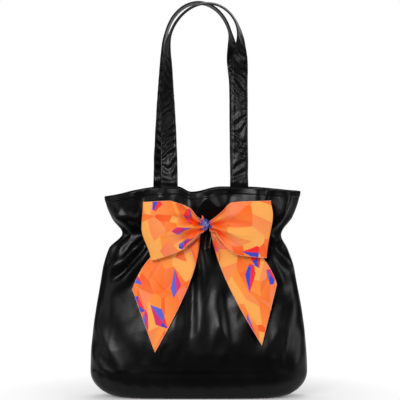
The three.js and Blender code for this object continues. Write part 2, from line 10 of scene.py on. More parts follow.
import bpy
import numpy as np
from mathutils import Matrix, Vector


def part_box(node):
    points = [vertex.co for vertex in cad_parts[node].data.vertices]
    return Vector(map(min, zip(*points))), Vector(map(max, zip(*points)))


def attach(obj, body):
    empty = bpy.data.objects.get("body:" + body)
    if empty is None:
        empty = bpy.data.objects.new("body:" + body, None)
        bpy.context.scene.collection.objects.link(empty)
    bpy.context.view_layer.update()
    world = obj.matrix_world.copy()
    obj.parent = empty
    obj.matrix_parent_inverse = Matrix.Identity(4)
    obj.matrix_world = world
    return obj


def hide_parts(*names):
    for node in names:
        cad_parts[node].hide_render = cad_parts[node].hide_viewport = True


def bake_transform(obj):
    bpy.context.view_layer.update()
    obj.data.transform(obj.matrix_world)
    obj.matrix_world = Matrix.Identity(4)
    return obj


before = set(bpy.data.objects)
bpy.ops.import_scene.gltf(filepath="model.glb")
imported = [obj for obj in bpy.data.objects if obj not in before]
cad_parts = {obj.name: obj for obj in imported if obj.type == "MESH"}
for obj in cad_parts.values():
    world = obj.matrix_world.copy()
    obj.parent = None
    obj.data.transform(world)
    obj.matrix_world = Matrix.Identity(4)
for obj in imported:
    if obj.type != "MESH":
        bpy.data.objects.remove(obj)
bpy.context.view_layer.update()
MM = 0.001

# %% [markdown]
# ## The camera
# A picture of a bag is taken from far off with a long lens, so that its width doesn't swell near the middle.
# The lens follows from the width that the picture spans at the bag, and the camera stands a little above the
# bag's middle, which lets the far side of the mouth show over the near one.

# %% Camera
VIEW_SPAN = 0.640
VIEW_HEIGHT = 0.3152
CAMERA_DISTANCE = 3.5
CAMERA_RISE = math.radians(2.5)


def look_from(obj, target, direction, distance):
    """Stands obj off a target, looking back at it."""
    away = Vector(direction).normalized()
    obj.location = Vector(target) + away * distance
    obj.rotation_euler = (-away).to_track_quat("-Z", "Y").to_euler()


camera_data = bpy.data.cameras.new("camera")
camera_data.lens = camera_data.sensor_width * CAMERA_DISTANCE / VIEW_SPAN
camera = bpy.data.objects.new("camera", camera_data)
bpy.context.scene.collection.objects.link(camera)
camera_way = (0, -math.cos(CAMERA_RISE), math.sin(CAMERA_RISE))
look_from(camera, (0, 0, VIEW_HEIGHT), camera_way, CAMERA_DISTANCE)
bpy.context.scene.camera = camera
bpy.context.scene.view_settings.view_transform = "Standard"
print("lens, mm:", round(camera_data.lens, 1))

# %% [markdown]
# ## Nodes in short
# Every material below is a tree of nodes. These helpers make one node each, set its values and link its inputs,
# so that a material reads from top to bottom like a recipe.

# %% Helpers for nodes


def new_tree(owner):
    """The empty node tree of a material or a world."""
    owner.use_nodes = True
    owner.node_tree.nodes.clear()
    return owner.node_tree


def node(tree, kind, inputs=None, **settings):
    """Adds a node. Each input, by name or number, gets a plain value or another node's output."""
    made = tree.nodes.new(kind)
    for key, value in settings.items():
        setattr(made, key, value)
    for socket, term in (inputs or {}).items():
        if isinstance(term, bpy.types.NodeSocket):
            tree.links.new(term, made.inputs[socket])
        else:
            made.inputs[socket].default_value = term
    return made


def math_node(tree, operation, *terms):
    """The result of a Math node."""
    return node(tree, "ShaderNodeMath", dict(enumerate(terms)), operation=operation).outputs[0]


def vector_node(tree, operation, *terms, output="Vector"):
    """A result of a Vector Math node."""
    return node(tree, "ShaderNodeVectorMath", dict(enumerate(terms)), operation=operation).outputs[output]


def scaled_vector(tree, vector, factor):
    """A vector times a number."""
    return node(tree, "ShaderNodeVectorMath", {0: vector, "Scale": factor}, operation="SCALE").outputs[0]


def map_range(tree, value, low, high, to=(0.0, 1.0), **settings):
    """A value between low and high, mapped to another range and kept inside it."""
    ends = {0: value, 1: low, 2: high, 3: to[0], 4: to[1]}
    return node(tree, "ShaderNodeMapRange", ends, **settings).outputs[0]


def noise_node(tree, place, scale, **values):
    """Smooth noise at a place."""
    return node(tree, "ShaderNodeTexNoise", {"Vector": place, "Scale": scale, **values}).outputs[0]


def blend_colours(tree, factor, low, high):
    """Mixes two colours by a factor."""
    return node(tree, "ShaderNodeMix", {0: factor, 6: low, 7: high}, data_type="RGBA").outputs[2]


print("node helpers ready")

# %% [markdown]
# ## The studio
# Black satin shows nothing but reflections, so the lamps draw the bag. A soft box stands a little above the
# camera, a tall strip on either side, a soft box overhead and a weak one behind: cloth that leans back or turns
# aside catches them, and cloth that stands upright stays dark. The surroundings are white where the backdrop is
# seen, dimmer where it is mirrored, and dark elsewhere. The floor is a pale table top whose front edge lies just
# before the bag, because a floor that ran on towards the camera would be mirrored in the satin and turn it grey.

# %% Lamps
LAMPS = {
    "key_softbox": {"at": (-0.66, -2.15, 1.00), "size": (0.8, 0.5), "watts": 26},
    "left_strip": {"at": (-2.00, -0.85, 0.45), "size": (0.35, 1.5), "watts": 3.5},
    "right_strip": {"at": (1.85, -1.20, 0.45), "size": (0.40, 1.5), "watts": 11},
    "top_softbox": {"at": (0.1, 0.35, 2.1), "size": (1.2, 0.6), "watts": 9},
    "back_softbox": {"at": (0.66, 2.15, 1.00), "size": (2.4, 1.6), "watts": 8},
}
LAMPS_AIM = Vector((0, 0, 0.25))

for name, lamp in LAMPS.items():
    lamp_data = bpy.data.lights.new(name, "AREA")
    lamp_data.shape = "RECTANGLE"
    lamp_data.size, lamp_data.size_y = lamp["size"]
    lamp_data.energy = lamp["watts"]
    lamp_object = bpy.data.objects.new(name, lamp_data)
    bpy.context.scene.collection.objects.link(lamp_object)
    offset = Vector(lamp["at"]) - LAMPS_AIM
    look_from(lamp_object, LAMPS_AIM, offset, offset.length)
print("lamps:", ", ".join(LAMPS))

# %% World
DIFFUSE_FILL = 0.43
DARK_STUDIO, MIRRORED_BACKDROP = 0.015, 0.30
BACKDROP_EDGE = (0.25, 0.7)

world = bpy.data.worlds.new("studio")
bpy.context.scene.world = world
sky = new_tree(world)
path = node(sky, "ShaderNodeLightPath").outputs
ray_way = node(sky, "ShaderNodeSeparateXYZ", {0: node(sky, "ShaderNodeTexCoord").outputs["Generated"]})
behind = map_range(sky, ray_way.outputs["Y"], *BACKDROP_EDGE)
mirrored = math_node(sky, "MAXIMUM", path["Is Glossy Ray"], path["Is Transmission Ray"])
in_mirror = math_node(sky, "MULTIPLY_ADD", behind, MIRRORED_BACKDROP - DARK_STUDIO, DARK_STUDIO)
as_light = math_node(sky, "MULTIPLY_ADD", mirrored, -DIFFUSE_FILL, DIFFUSE_FILL)
unseen = math_node(sky, "MULTIPLY_ADD", mirrored, in_mirror, as_light)
strength = math_node(sky, "MAXIMUM", path["Is Camera Ray"], unseen)
backdrop = node(sky, "ShaderNodeBackground", {"Color": (1, 1, 1, 1), "Strength": strength})
node(sky, "ShaderNodeOutputWorld", {"Surface": backdrop.outputs[0]})
print("fill light from all round:", DIFFUSE_FILL)

# %% Floor
TABLE_HALF, TABLE_FRONT, TABLE_BACK = 1.3, -0.080, 1.6
FLOOR_BELOW = 0.0002
FLOOR_TONES = ((0.93, 0.93, 0.93, 1), (0.97, 0.97, 0.97, 1))
FLOOR_GRAIN, FLOOR_ROUGHNESS = 60.0, 0.9
SHADOW_FADES = (0.10, 0.34)
EDGE_FADES = (-0.030, TABLE_FRONT + 0.002)

floor_mesh = bpy.data.meshes.new("floor")
outline = (
    (-TABLE_HALF, TABLE_FRONT), (TABLE_HALF, TABLE_FRONT), (TABLE_HALF, TABLE_BACK), (-TABLE_HALF, TABLE_BACK),
)
floor_mesh.from_pydata([(x, y, -FLOOR_BELOW) for x, y in outline], [], [(0, 1, 2, 3)])
floor = bpy.data.objects.new("floor", floor_mesh)
bpy.context.scene.collection.objects.link(floor)
floor_paint = bpy.data.materials.new("pale_floor")
paint = new_tree(floor_paint)
place = node(paint, "ShaderNodeNewGeometry").outputs["Position"]
pale = blend_colours(paint, noise_node(paint, place, FLOOR_GRAIN, Detail=4.0), *FLOOR_TONES)
matt = node(paint, "ShaderNodeBsdfPrincipled", {"Base Color": pale, "Roughness": FLOOR_ROUGHNESS})
white = node(paint, "ShaderNodeEmission", {"Strength": 1.0})
far = map_range(paint, vector_node(paint, "LENGTH", place, output="Value"), *SHADOW_FADES)
at_edge = map_range(paint, node(paint, "ShaderNodeSeparateXYZ", {0: place}).outputs["Y"], *EDGE_FADES)
seen = node(paint, "ShaderNodeLightPath").outputs["Is Camera Ray"]
fade = math_node(paint, "MULTIPLY", math_node(paint, "MAXIMUM", far, at_edge), seen)
floor_mix = node(paint, "ShaderNodeMixShader", {0: fade, 1: matt.outputs[0], 2: white.outputs[0]})
node(paint, "ShaderNodeOutputMaterial", {"Surface": floor_mix.outputs[0]})
floor_mesh.materials.append(floor_paint)
print("table from", TABLE_FRONT, "to", TABLE_BACK)

# %% [markdown]
# ## Shared effects
# Satin, lining, tape and ribbon are all woven, all creased and all a little worn, so each effect is one node
# group that every cloth uses with its own values. They read a piece's flat coordinates, where the cloth lay
# before it was sewn, so that threads run along the cut and follow every fold.

# %% Effect: weave
VECTOR, FLOAT, COLOUR = "NodeSocketVector", "NodeSocketFloat", "NodeSocketColor"
FLOAT_THREADS, FLOAT_STEP = 5, 2


def new_group(name, inputs, outputs):
    """An empty node group: inputs are (name, kind, default), outputs are (name, kind)."""
    group = bpy.data.node_groups.new(name, "ShaderNodeTree")
    for label, kind, default in inputs:
        socket = group.interface.new_socket(label, in_out="INPUT", socket_type=kind)
        if default is not None:
            socket.default_value = default
    for label, kind in outputs:
        group.interface.new_socket(label, in_out="OUTPUT", socket_type=kind)
    return group, node(group, "NodeGroupInput").outputs, node(group, "NodeGroupOutput").inputs


def humps(tree, value):
    """A row of rounded humps, one for each whole number."""
    return math_node(tree, "SINE", math_node(tree, "MULTIPLY", math_node(tree, "FRACT", value), math.pi))


def make_weave():
    """Threads of a satin weave: long floats over one set of threads, stepped from row to row."""
    inputs = [("Flat", VECTOR, None), ("Threads per metre", FLOAT, 2400.0)]
    group, given, put = new_group("thread_weave", inputs, [("Height", FLOAT)])
    counted = scaled_vector(group, given["Flat"], given["Threads per metre"])
    thread = node(group, "ShaderNodeSeparateXYZ", {0: counted}).outputs
    along = math_node(group, "MULTIPLY", thread["X"], 1 / FLOAT_THREADS)
    row = math_node(group, "FLOOR", thread["Y"])
    stepped = math_node(group, "MULTIPLY_ADD", row, FLOAT_STEP / FLOAT_THREADS, along)
    height = math_node(group, "MULTIPLY", humps(group, stepped), humps(group, thread["Y"]))
    group.links.new(height, put["Height"])
    return group


WEAVE = make_weave()
print("effect:", WEAVE.name)

# %% Effect: creases
CREASE_NOISE = {"Detail": 3.0, "Roughness": 0.55, "Distortion": 0.6}
CREASE_SHARPNESS, PRESSED_BAND = 4.0, (0.35, 0.65)


def make_creases():
    """Soft creases as ridges of noise, with a mask of where the cloth has been pressed, which the knot also uses to
    place a painted highlight.
    """
    inputs = [("Flat", VECTOR, None), ("Per metre", FLOAT, 60.0)]
    group, given, put = new_group("cloth_creases", inputs, [("Height", FLOAT), ("Pressed or highlight", FLOAT)])
    noise = noise_node(group, given["Flat"], given["Per metre"], **CREASE_NOISE)
    off_middle = math_node(group, "ABSOLUTE", math_node(group, "SUBTRACT", noise, 0.5))
    group.links.new(math_node(group, "MULTIPLY_ADD", off_middle, -CREASE_SHARPNESS, 1.0), put["Height"])
    pressed_or_highlight = map_range(group, noise, *PRESSED_BAND, interpolation_type="SMOOTHSTEP")
    group.links.new(pressed_or_highlight, put["Pressed or highlight"])
    return group


CREASES = make_creases()
print("effect:", CREASES.name)

# %% Effect: wear
LINT_SCALE, LINT_BAND = 900.0, (0.68, 0.78)
RUB_SCALE, RUB_BAND = 14.0, (0.4, 0.7)


def make_wear():
    """Lint and rubbed places: a few fine flecks inside broad soft patches."""
    group, given, put = new_group("cloth_wear", [("Flat", VECTOR, None)], [("Lint", FLOAT), ("Rubbed", FLOAT)])
    fleck = map_range(group, noise_node(group, given["Flat"], LINT_SCALE, Detail=2.0), *LINT_BAND)
    patch = map_range(group, noise_node(group, given["Flat"], RUB_SCALE, Detail=2.0), *RUB_BAND)
    group.links.new(math_node(group, "MULTIPLY", fleck, patch), put["Lint"])
    group.links.new(patch, put["Rubbed"])
    return group


WEAR = make_wear()
print("effect:", WEAR.name)

# %% [markdown]
# ## The ribbon's print
# The ribbon is printed with a bright mosaic. A generic one is grown here: cells of random points are each cut
# in two by a line, every shard takes a warm colour that runs a little lighter to one side, and now and then a
# slim diamond in a cold or deep colour lies over them.

# %% Print: colours
WARM_SHARDS = [
    (0.00, (1.00, 0.400, 0.080)), (0.17, (0.98, 0.150, 0.012)), (0.34, (0.97, 0.215, 0.060)),
    (0.50, (0.95, 0.080, 0.004)), (0.66, (1.00, 0.260, 0.030)), (0.82, (0.97, 0.185, 0.080)),
]
ACCENT_SHARDS = [
    (0.00, (0.95, 0.015, 0.025)), (0.28, (0.70, 0.020, 0.150)), (0.46, (0.035, 0.060, 0.550)),
    (0.76, (0.105, 0.120, 0.620)),
]


def colour_steps(tree, factor, steps):
    """A ramp of flat colours, one for each (place, colour) step."""
    ramp = node(tree, "ShaderNodeValToRGB", {0: factor})
    ramp.color_ramp.interpolation = "CONSTANT"
    stops = ramp.color_ramp.elements
    while len(stops) < len(steps):
        stops.new(1.0)
    for stop, (place, colour) in zip(stops, steps):
        stop.position = place
        stop.color = (*colour, 1)
    return ramp.outputs[0]


print("print colours:", len(WARM_SHARDS), "warm and", len(ACCENT_SHARDS), "accents")

# %% Print: cells cut in two
OTHER_HALF, CUT_STRAY = 0.37, 0.5


def cut_cells(tree, flat, scale, stretch):
    """Random cells cut in two: gives each shard's number, its place along and across the cut, and its chance."""
    stretched = vector_node(tree, "MULTIPLY", flat, stretch)
    cells = node(tree, "ShaderNodeTexVoronoi", {"Scale": scale, "Vector": stretched}).outputs
    centre = scaled_vector(tree, cells["Position"], scale)
    local = vector_node(tree, "SUBTRACT", scaled_vector(tree, stretched, scale), centre)
    random = node(tree, "ShaderNodeSeparateColor", {0: cells["Color"]}).outputs
    turn = math_node(tree, "MULTIPLY", random[0], 2 * math.pi)
    cosine, sine = math_node(tree, "COSINE", turn), math_node(tree, "SINE", turn)
    way = node(tree, "ShaderNodeCombineXYZ", {0: cosine, 1: sine}).outputs[0]
    run = vector_node(tree, "DOT_PRODUCT", local, way, output="Value")
    turned = vector_node(tree, "CROSS_PRODUCT", way, (0, 0, 1))
    aside = vector_node(tree, "DOT_PRODUCT", local, turned, output="Value")
    cut_at = math_node(tree, "MULTIPLY_ADD", random[1], CUT_STRAY, -CUT_STRAY / 2)
    half = math_node(tree, "GREATER_THAN", run, cut_at)
    number = math_node(tree, "FRACT", math_node(tree, "MULTIPLY_ADD", half, OTHER_HALF, random[2]))
    return number, run, aside, random[1]


print("each cell's other half is", OTHER_HALF, "further along the colours")

# %% Effect: a mosaic of shards
SHARDS_PER_METRE, SHARD_STRETCH = 34.0, (1.0, 0.8, 1.0)
GLOW_EDGE = 0.6
SHARD_GLOW, GLOW_SHARE = (1.0, 0.50, 0.14, 1), 0.28
DIAMONDS_PER_METRE, DIAMOND_SLIMNESS, DIAMOND_REACH = 20.0, 2.3, 0.50
DIAMOND_CHANCE, DIAMOND_OTHER_HALF = 0.42, 0.48


def make_mosaic():
    """Warm shards that glow to one side, with a few slim diamonds over them."""
    group, given, put = new_group("shard_mosaic", [("Flat", VECTOR, None)], [("Color", COLOUR)])
    number, run, _, _ = cut_cells(group, given["Flat"], SHARDS_PER_METRE, SHARD_STRETCH)
    lighter = map_range(group, run, -GLOW_EDGE, GLOW_EDGE, (0.0, GLOW_SHARE))
    shaded = blend_colours(group, lighter, colour_steps(group, number, WARM_SHARDS), SHARD_GLOW)
    accent, run, aside, chance = cut_cells(group, given["Flat"], DIAMONDS_PER_METRE, (1.0, 1.0, 1.0))
    half = math_node(group, "GREATER_THAN", aside, 0.0)
    accent = math_node(group, "FRACT", math_node(group, "MULTIPLY_ADD", half, DIAMOND_OTHER_HALF, accent))
    slim = math_node(group, "MULTIPLY", math_node(group, "ABSOLUTE", aside), DIAMOND_SLIMNESS)
    reach = math_node(group, "ADD", slim, math_node(group, "ABSOLUTE", run))
    inside = math_node(group, "LESS_THAN", reach, DIAMOND_REACH)
    picked = math_node(group, "MULTIPLY", math_node(group, "GREATER_THAN", chance, DIAMOND_CHANCE), inside)
    colour = blend_colours(group, picked, shaded, colour_steps(group, accent, ACCENT_SHARDS))
    group.links.new(colour, put["Color"])
    return group


MOSAIC = make_mosaic()
print("effect:", MOSAIC.name)

# %% [markdown]
# ## Cloth finishes
# A cloth's shine comes from its threads. Satin has long floats, so it shines and its base is nearly black; the
# lining is a plain dull weave; tape is duller still. Each material mixes the shared effects into its colour,
# its roughness and its bumps, and keeps plain numbers on the shader itself. The ribbon reads how deep in a fold
# a point lies and gets a painted shade there, redder because light that comes out of a fold of thin bright cloth
# has passed through it, and it gets a painted sheen on its threads. The knot gets a painted highlight along its
# pressed creases.

# %% Cloths
CLOTHS = {
    "black_satin": {
        "dark": (0.0009, 0.0009, 0.0010, 1), "light": (0.0024, 0.0023, 0.0026, 1), "rough": (0.34, 0.39),
        "threads": 2600.0, "crease": 45.0, "bump": (0.03, 0.06), "grain": 0.2,
    },
    "lining_cloth": {
        "dark": (0.008, 0.008, 0.009, 1), "light": (0.02, 0.02, 0.021, 1), "rough": (0.55, 0.68), "sheen": 0.05,
        "threads": 1500.0, "crease": 70.0, "bump": (0.2, 0.3),
    },
    "channel_tape": {
        "dark": (0.006, 0.006, 0.0065, 1), "light": (0.02, 0.02, 0.02, 1), "rough": (0.7, 0.85), "sheen": 0.05,
        "threads": 900.0, "crease": 90.0, "bump": (0.3, 0.2),
    },
    # For the ribbon, dark is the colour of its painted fold shade and light is that of the painted sheen on its
    # threads.
    "printed_ribbon": {
        "dark": (0.90, 0.075, 0.006, 1), "light": (1.0, 0.62, 0.35, 1), "rough": (0.42, 0.52), "specular": 0.10,
        "threads": 2200.0, "crease": 50.0, "bump": (0.12, 0.15), "pattern": MOSAIC,
    },
    # The knot's light colour, mixed in along its pressed creases, is a painted highlight.
    "ribbon_knot": {
        "dark": (0.012, 0.018, 0.260, 1), "light": (0.62, 0.66, 1.00, 1), "rough": (0.24, 0.32), "specular": 0.6,
        "threads": 2200.0, "crease": 130.0, "bump": (0.12, 0.3), "press_or_highlight": 0.24,
    },
    "pale_edge": {
        "dark": (0.97, 0.36, 0.20, 1), "light": (1.0, 0.58, 0.42, 1), "rough": (0.55, 0.7),
        "threads": 3000.0, "crease": 300.0, "bump": (0.3, 0.2),
    },
    "black_thread": {
        "dark": (0.004, 0.004, 0.0045, 1), "light": (0.018, 0.018, 0.019, 1), "rough": (0.4, 0.55),
        "specular": 0.4, "threads": 4000.0, "crease": 400.0, "bump": (0.4, 0.1),
    },
    "base_board": {
        "dark": (0.20, 0.20, 0.19, 1), "light": (0.30, 0.30, 0.28, 1), "rough": (0.8, 0.92),
        "threads": 700.0, "crease": 120.0, "bump": (0.2, 0.4),
    },
}
print("cloths:", ", ".join(CLOTHS))

# %% Materials
PAINTED_THREAD_SHEEN, FOLD_SHADE, LINT_SHADE = 0.05, 0.85, 0.5
THREAD_RELIEF, CREASE_RELIEF = 0.0002, 0.001


def use_group(tree, group, flat, **numbers):
    """Places a shared effect in a material."""
    inputs = {label.replace("_", " "): number for label, number in numbers.items()}
    return node(tree, "ShaderNodeGroup", {"Flat": flat, **inputs}, node_tree=group).outputs


def printed_colour(tree, pattern, flat, thread, dark, light):
    """A print with a painted sheen on its threads and a painted shade, darker and redder, in its folds."""
    # Painted sheen: the tops of the threads run towards the light colour.
    shade = math_node(tree, "MULTIPLY", thread, PAINTED_THREAD_SHEEN)
    colour = blend_colours(tree, shade, use_group(tree, pattern, flat)["Color"], light)
    # The deep attribute carries painted fold shade, which mixes the print towards the dark colour.
    deep = node(tree, "ShaderNodeAttribute", attribute_name="deep").outputs["Fac"]
    return blend_colours(tree, math_node(tree, "MULTIPLY", deep, FOLD_SHADE), colour, dark)


def cloth_material(
    name, dark, light, rough, threads, crease, bump, sheen=0.0, specular=0.3, grain=0.0, press_or_highlight=0.35, pattern=None
):
    """A woven cloth: its colour runs from dark to light, or takes a printed pattern."""
    material = bpy.data.materials.new(name)
    tree = new_tree(material)
    flat = node(tree, "ShaderNodeAttribute", attribute_name="flat").outputs["Vector"]
    weave = use_group(tree, WEAVE, flat, Threads_per_metre=threads)
    creases = use_group(tree, CREASES, flat, Per_metre=crease)
    wear = use_group(tree, WEAR, flat)
    if pattern:
        colour = printed_colour(tree, pattern, flat, weave["Height"], dark, light)
    else:
        colour = blend_colours(tree, math_node(tree, "MULTIPLY", wear["Lint"], LINT_SHADE), dark, light)
        # Where the creases are pressed, the colour runs towards light: a pressed tone, and on the knot a painted
        # highlight.
        colour = blend_colours(tree, math_node(tree, "MULTIPLY", creases["Pressed or highlight"], press_or_highlight), colour, light)
    shine = map_range(tree, wear["Rubbed"], 0.0, 1.0, rough)
    normal = None
    for strength, depth, height in ((bump[0], THREAD_RELIEF, weave), (bump[1], CREASE_RELIEF, creases)):
        under = {"Normal": normal} if normal else {}
        relief = {"Strength": strength, "Distance": depth, "Height": height["Height"], **under}
        normal = node(tree, "ShaderNodeBump", relief).outputs[0]
    shader = node(tree, "ShaderNodeBsdfPrincipled", {
        "Sheen Weight": sheen, "Specular IOR Level": specular, "Anisotropic": grain,
        "Base Color": colour, "Roughness": shine, "Normal": normal,
    })
    node(tree, "ShaderNodeOutputMaterial", {"Surface": shader.outputs[0]})
    return material


FINISHES = {name: cloth_material(name, **cloth) for name, cloth in CLOTHS.items()}
print("finishes:", len(FINISHES))

# %% [markdown]
# ## Meshes from grids
# Sewn cloth is easiest to build as a grid of points with rows and columns, like the cloth's own threads. A grid
# becomes a thin closed sheet by pushing it out to both sides along its normals, which gives every hem a real
# edge. The flat coordinates travel with the points as an attribute.

# %% Helpers for soft steps and noise
NOISE_TABLE = 97
RIDGE_MIDDLE = 0.35


def mix(a, b, share):
    """A value part of the way from a to b."""
    return a + (b - a) * share


def smooth(x):
    """A soft step from 0 to 1."""
    x = np.clip(x, 0, 1)
    return x * x * (3 - 2 * x)


def fade_out(x, start, run):
    """A soft step from 1 down to 0, which begins at start."""
    return 1 - smooth((x - start) / run)


def bell(x, spread, power=2):
    """A soft hump that is 1 in its middle; a higher power gives it a flat top."""
    return np.exp(-((x / spread) ** power))


def unit(vectors):
    """Vectors of length 1."""
    return vectors / np.maximum(np.linalg.norm(vectors, axis=-1, keepdims=True), 1e-12)


def soft_noise(u, v, seed):
    """Smooth random values from -1 to 1 over a plane whose unit is one patch of cloth.

    A whole number added to u or v only picks another place in the same noise.
    """
    table = np.random.default_rng(seed).uniform(-1, 1, (NOISE_TABLE, NOISE_TABLE))
    iu, iv = np.floor(u).astype(int), np.floor(v).astype(int)
    su, sv = smooth(u - iu), smooth(v - iv)

    def corner(a, b):
        return table[(iu + a) % NOISE_TABLE, (iv + b) % NOISE_TABLE]

    return mix(mix(corner(0, 0), corner(1, 0), su), mix(corner(0, 1), corner(1, 1), su), sv)


def creased_noise(u, v, seed):
    """Sharp ridges between smooth hollows, as in crumpled satin."""
    return 1 - 2 * np.abs(soft_noise(u, v, seed)) - RIDGE_MIDDLE


print("the noise repeats after", NOISE_TABLE, "patches")

# %% Helpers for cloth meshes
WEAR_AT = {
    "facing": 0.3, "lining": 0.5, "base": 0.7, "tape": 0.9, "neck band": 1.1, "loop": 2.0, "tail": 6.0, "wrap": 9.0,
    "tuck": 12.0,
}


def lengths_along(grid, axis):
    """Length from the first row or column to each point, measured on the cloth."""
    step = np.linalg.norm(np.diff(grid, axis=axis), axis=2)
    start = np.zeros_like(np.take(step, [0], axis))
    return np.concatenate([start, np.cumsum(step, axis)], axis)


def grid_normals(grid):
    """Normals of a grid of points."""
    return unit(np.cross(np.gradient(grid, axis=1), np.gradient(grid, axis=0)))


def quads(rows, columns, first=0, wrap=False):
    """Corner numbers of the faces of a grid, closed round its columns if it wraps."""
    r, c = np.meshgrid(np.arange(rows - 1), np.arange(columns if wrap else columns - 1), indexing="ij")
    low, high, right = r * columns, (r + 1) * columns, (c + 1) % columns
    return np.stack([low + c, low + right, high + right, high + c], -1).reshape(-1, 4) + first


def new_piece(name, points, faces, flat, material):
    """A smooth-shaded object turned to face outwards; a face that names a corner twice is a triangle."""
    points = np.asarray(points, float).reshape(-1, 3)
    a, b, c, d = (points[faces[:, i]] for i in range(4))
    volume = np.einsum("ij,ij->i", a, np.cross(b, c) + np.cross(c, d)).sum()
    if volume < 0:
        faces = faces[:, ::-1]
    mesh = bpy.data.meshes.new(name)
    corners = [list(dict.fromkeys(face)) for face in faces.tolist()]
    mesh.from_pydata(points.tolist(), [], corners)
    mesh.polygons.foreach_set("use_smooth", np.ones(len(faces), bool))
    places = mesh.attributes.new("flat", "FLOAT_VECTOR", "POINT")
    places.data.foreach_set("vector", np.asarray(flat, np.float32).ravel())
    mesh.materials.append(material)
    mesh.update()
    piece = bpy.data.objects.new(name, mesh)
    bpy.context.scene.collection.objects.link(piece)
    return piece


def flat_of(across, along, offset=0.0):
    """Flat coordinates from two grids or lines of lengths. Each piece has its own offset, and so its own wear."""
    across, along = np.broadcast_arrays(across, along)
    return np.stack([across, along, np.full(across.shape, offset)], -1)


def sheet_between(name, outer, inner, flat, material):
    """A closed thin sheet between two matching grids."""
    rows, columns = outer.shape[:2]
    count = rows * columns
    index = np.arange(count).reshape(rows, columns)
    rim = np.concatenate([index[0, :-1], index[:-1, -1], index[-1, :0:-1], index[:0:-1, 0]])
    onward = np.roll(rim, -1)
    edge = np.stack([rim, rim + count, onward + count, onward], -1)
    faces = np.concatenate([quads(rows, columns), quads(rows, columns, count)[:, ::-1], edge])
    points = np.concatenate([outer.reshape(-1, 3), inner.reshape(-1, 3)])
    return new_piece(name, points, faces, np.concatenate([flat.reshape(-1, 3)] * 2), material)


def cloth_sheet(name, grid, thickness, flat, material):
    """A sheet of even thickness about a grid."""
    step = grid_normals(grid) * thickness / 2
    return sheet_between(name, grid + step, grid - step, flat, material)


print("cloth helpers ready")

# %% [markdown]
# ## The bag's plain shape
# The body is a stack of rounded sections: nearly a rectangle at the base, an ellipse at the neck. These are the
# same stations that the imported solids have, so the cloth lies where they lie. A depth takes a layer inside the
# outer face, and a negative depth swells it.

# %% Sections: stations and curves
BASE = (0.118, 0.034)
BELLY_HEIGHT, SHOULDER_HEIGHT, GATHER_HEIGHT = 0.042, 0.200, 0.238
NECK_HEIGHT, FLARE_HEIGHT, RIM_HEIGHT = 0.261, 0.290, 0.334
STATION_HEIGHTS = (BELLY_HEIGHT, SHOULDER_HEIGHT, GATHER_HEIGHT, NECK_HEIGHT, FLARE_HEIGHT, RIM_HEIGHT)
STATION_HALF_WIDTHS = (0.174, 0.155, 0.143, 0.127, 0.1445, 0.157)
STATION_HALF_DEPTHS = (0.047, 0.040, 0.033, 0.025, 0.029, 0.035)
NECK_HALF_WIDTH, NECK_HALF_DEPTH = STATION_HALF_WIDTHS[3], STATION_HALF_DEPTHS[3]
BASE_SQUARENESS, NECK_SQUARENESS, NECK_SAMPLES = 3.2, 2.0, 721
BELLY_SHIFT, COLLAR_SHIFT, SHIFT_HEIGHT = -0.002, 0.004, 0.028
COLLAR_HEIGHT = RIM_HEIGHT - NECK_HEIGHT
SATIN, FACING, LINING, SEAM = 0.0012, 0.0010, 0.0008, 0.0004


def reach_along(line):
    """Length from a line's first point to each of its points."""
    return np.concatenate([[0], np.cumsum(np.linalg.norm(np.diff(line, axis=0), axis=1))])


def curve_through(points):
    """A smooth curve through points that never overshoots them, with a level start."""
    xs, ys = np.array(points, float).T
    secants = np.diff(ys) / np.diff(xs)
    slopes = np.zeros(len(xs))
    before, after = secants[:-1], secants[1:]
    same = before * after > 0
    slopes[1:-1][same] = (2 * before * after)[same] / (before + after)[same]
    slopes[-1] = secants[-1] / 2

    def at(x):
        i = np.clip(np.searchsorted(xs, x, side="right") - 1, 0, len(xs) - 2)
        width = xs[i + 1] - xs[i]
        t = np.clip((x - xs[i]) / width, 0, 1)
        rise = ys[i] * (1 + 2 * t) * (1 - t) ** 2 + ys[i + 1] * t * t * (3 - 2 * t)
        return rise + width * (slopes[i] * t * (1 - t) ** 2 - slopes[i + 1] * t * t * (1 - t))

    return at


half_width_at = curve_through(list(zip(STATION_HEIGHTS, STATION_HALF_WIDTHS)))
half_depth_at = curve_through(list(zip(STATION_HEIGHTS, STATION_HALF_DEPTHS)))
sample_angles = np.linspace(0, math.pi, NECK_SAMPLES)
neck_lengths = reach_along(
    np.stack([NECK_HALF_WIDTH * np.cos(sample_angles), NECK_HALF_DEPTH * np.sin(sample_angles)], 1)
)


def squareness_at(height):
    """How square a section is: 2 is an ellipse."""
    share = np.clip((height - BELLY_HEIGHT) / (NECK_HEIGHT - BELLY_HEIGHT), 0, 1)
    return mix(BASE_SQUARENESS, NECK_SQUARENESS, np.sqrt(share))


def angle_around(around):
    """Angle of a column, so that columns are evenly spaced round the neck."""
    return np.interp(np.clip(around, 0, 1) * neck_lengths[-1], neck_lengths, sample_angles)


widths = [round(2 * half_width_at(z), 3) for z in (BELLY_HEIGHT, NECK_HEIGHT, RIM_HEIGHT)]
print("width at the belly, neck and rim:", widths)

# %% Sections: the cloth's surface
FLUTES, FLUTE_DEPTH = 3, 0.004
RIM_DIP, DIP_AT, DIP_SHARES = 0.0085, 0.445, (0.066, 0.15)
LEFT_CORNER_DROP, RIGHT_CORNER_DROP, CORNER_SHARE = 0.0145, 0.006, 0.3


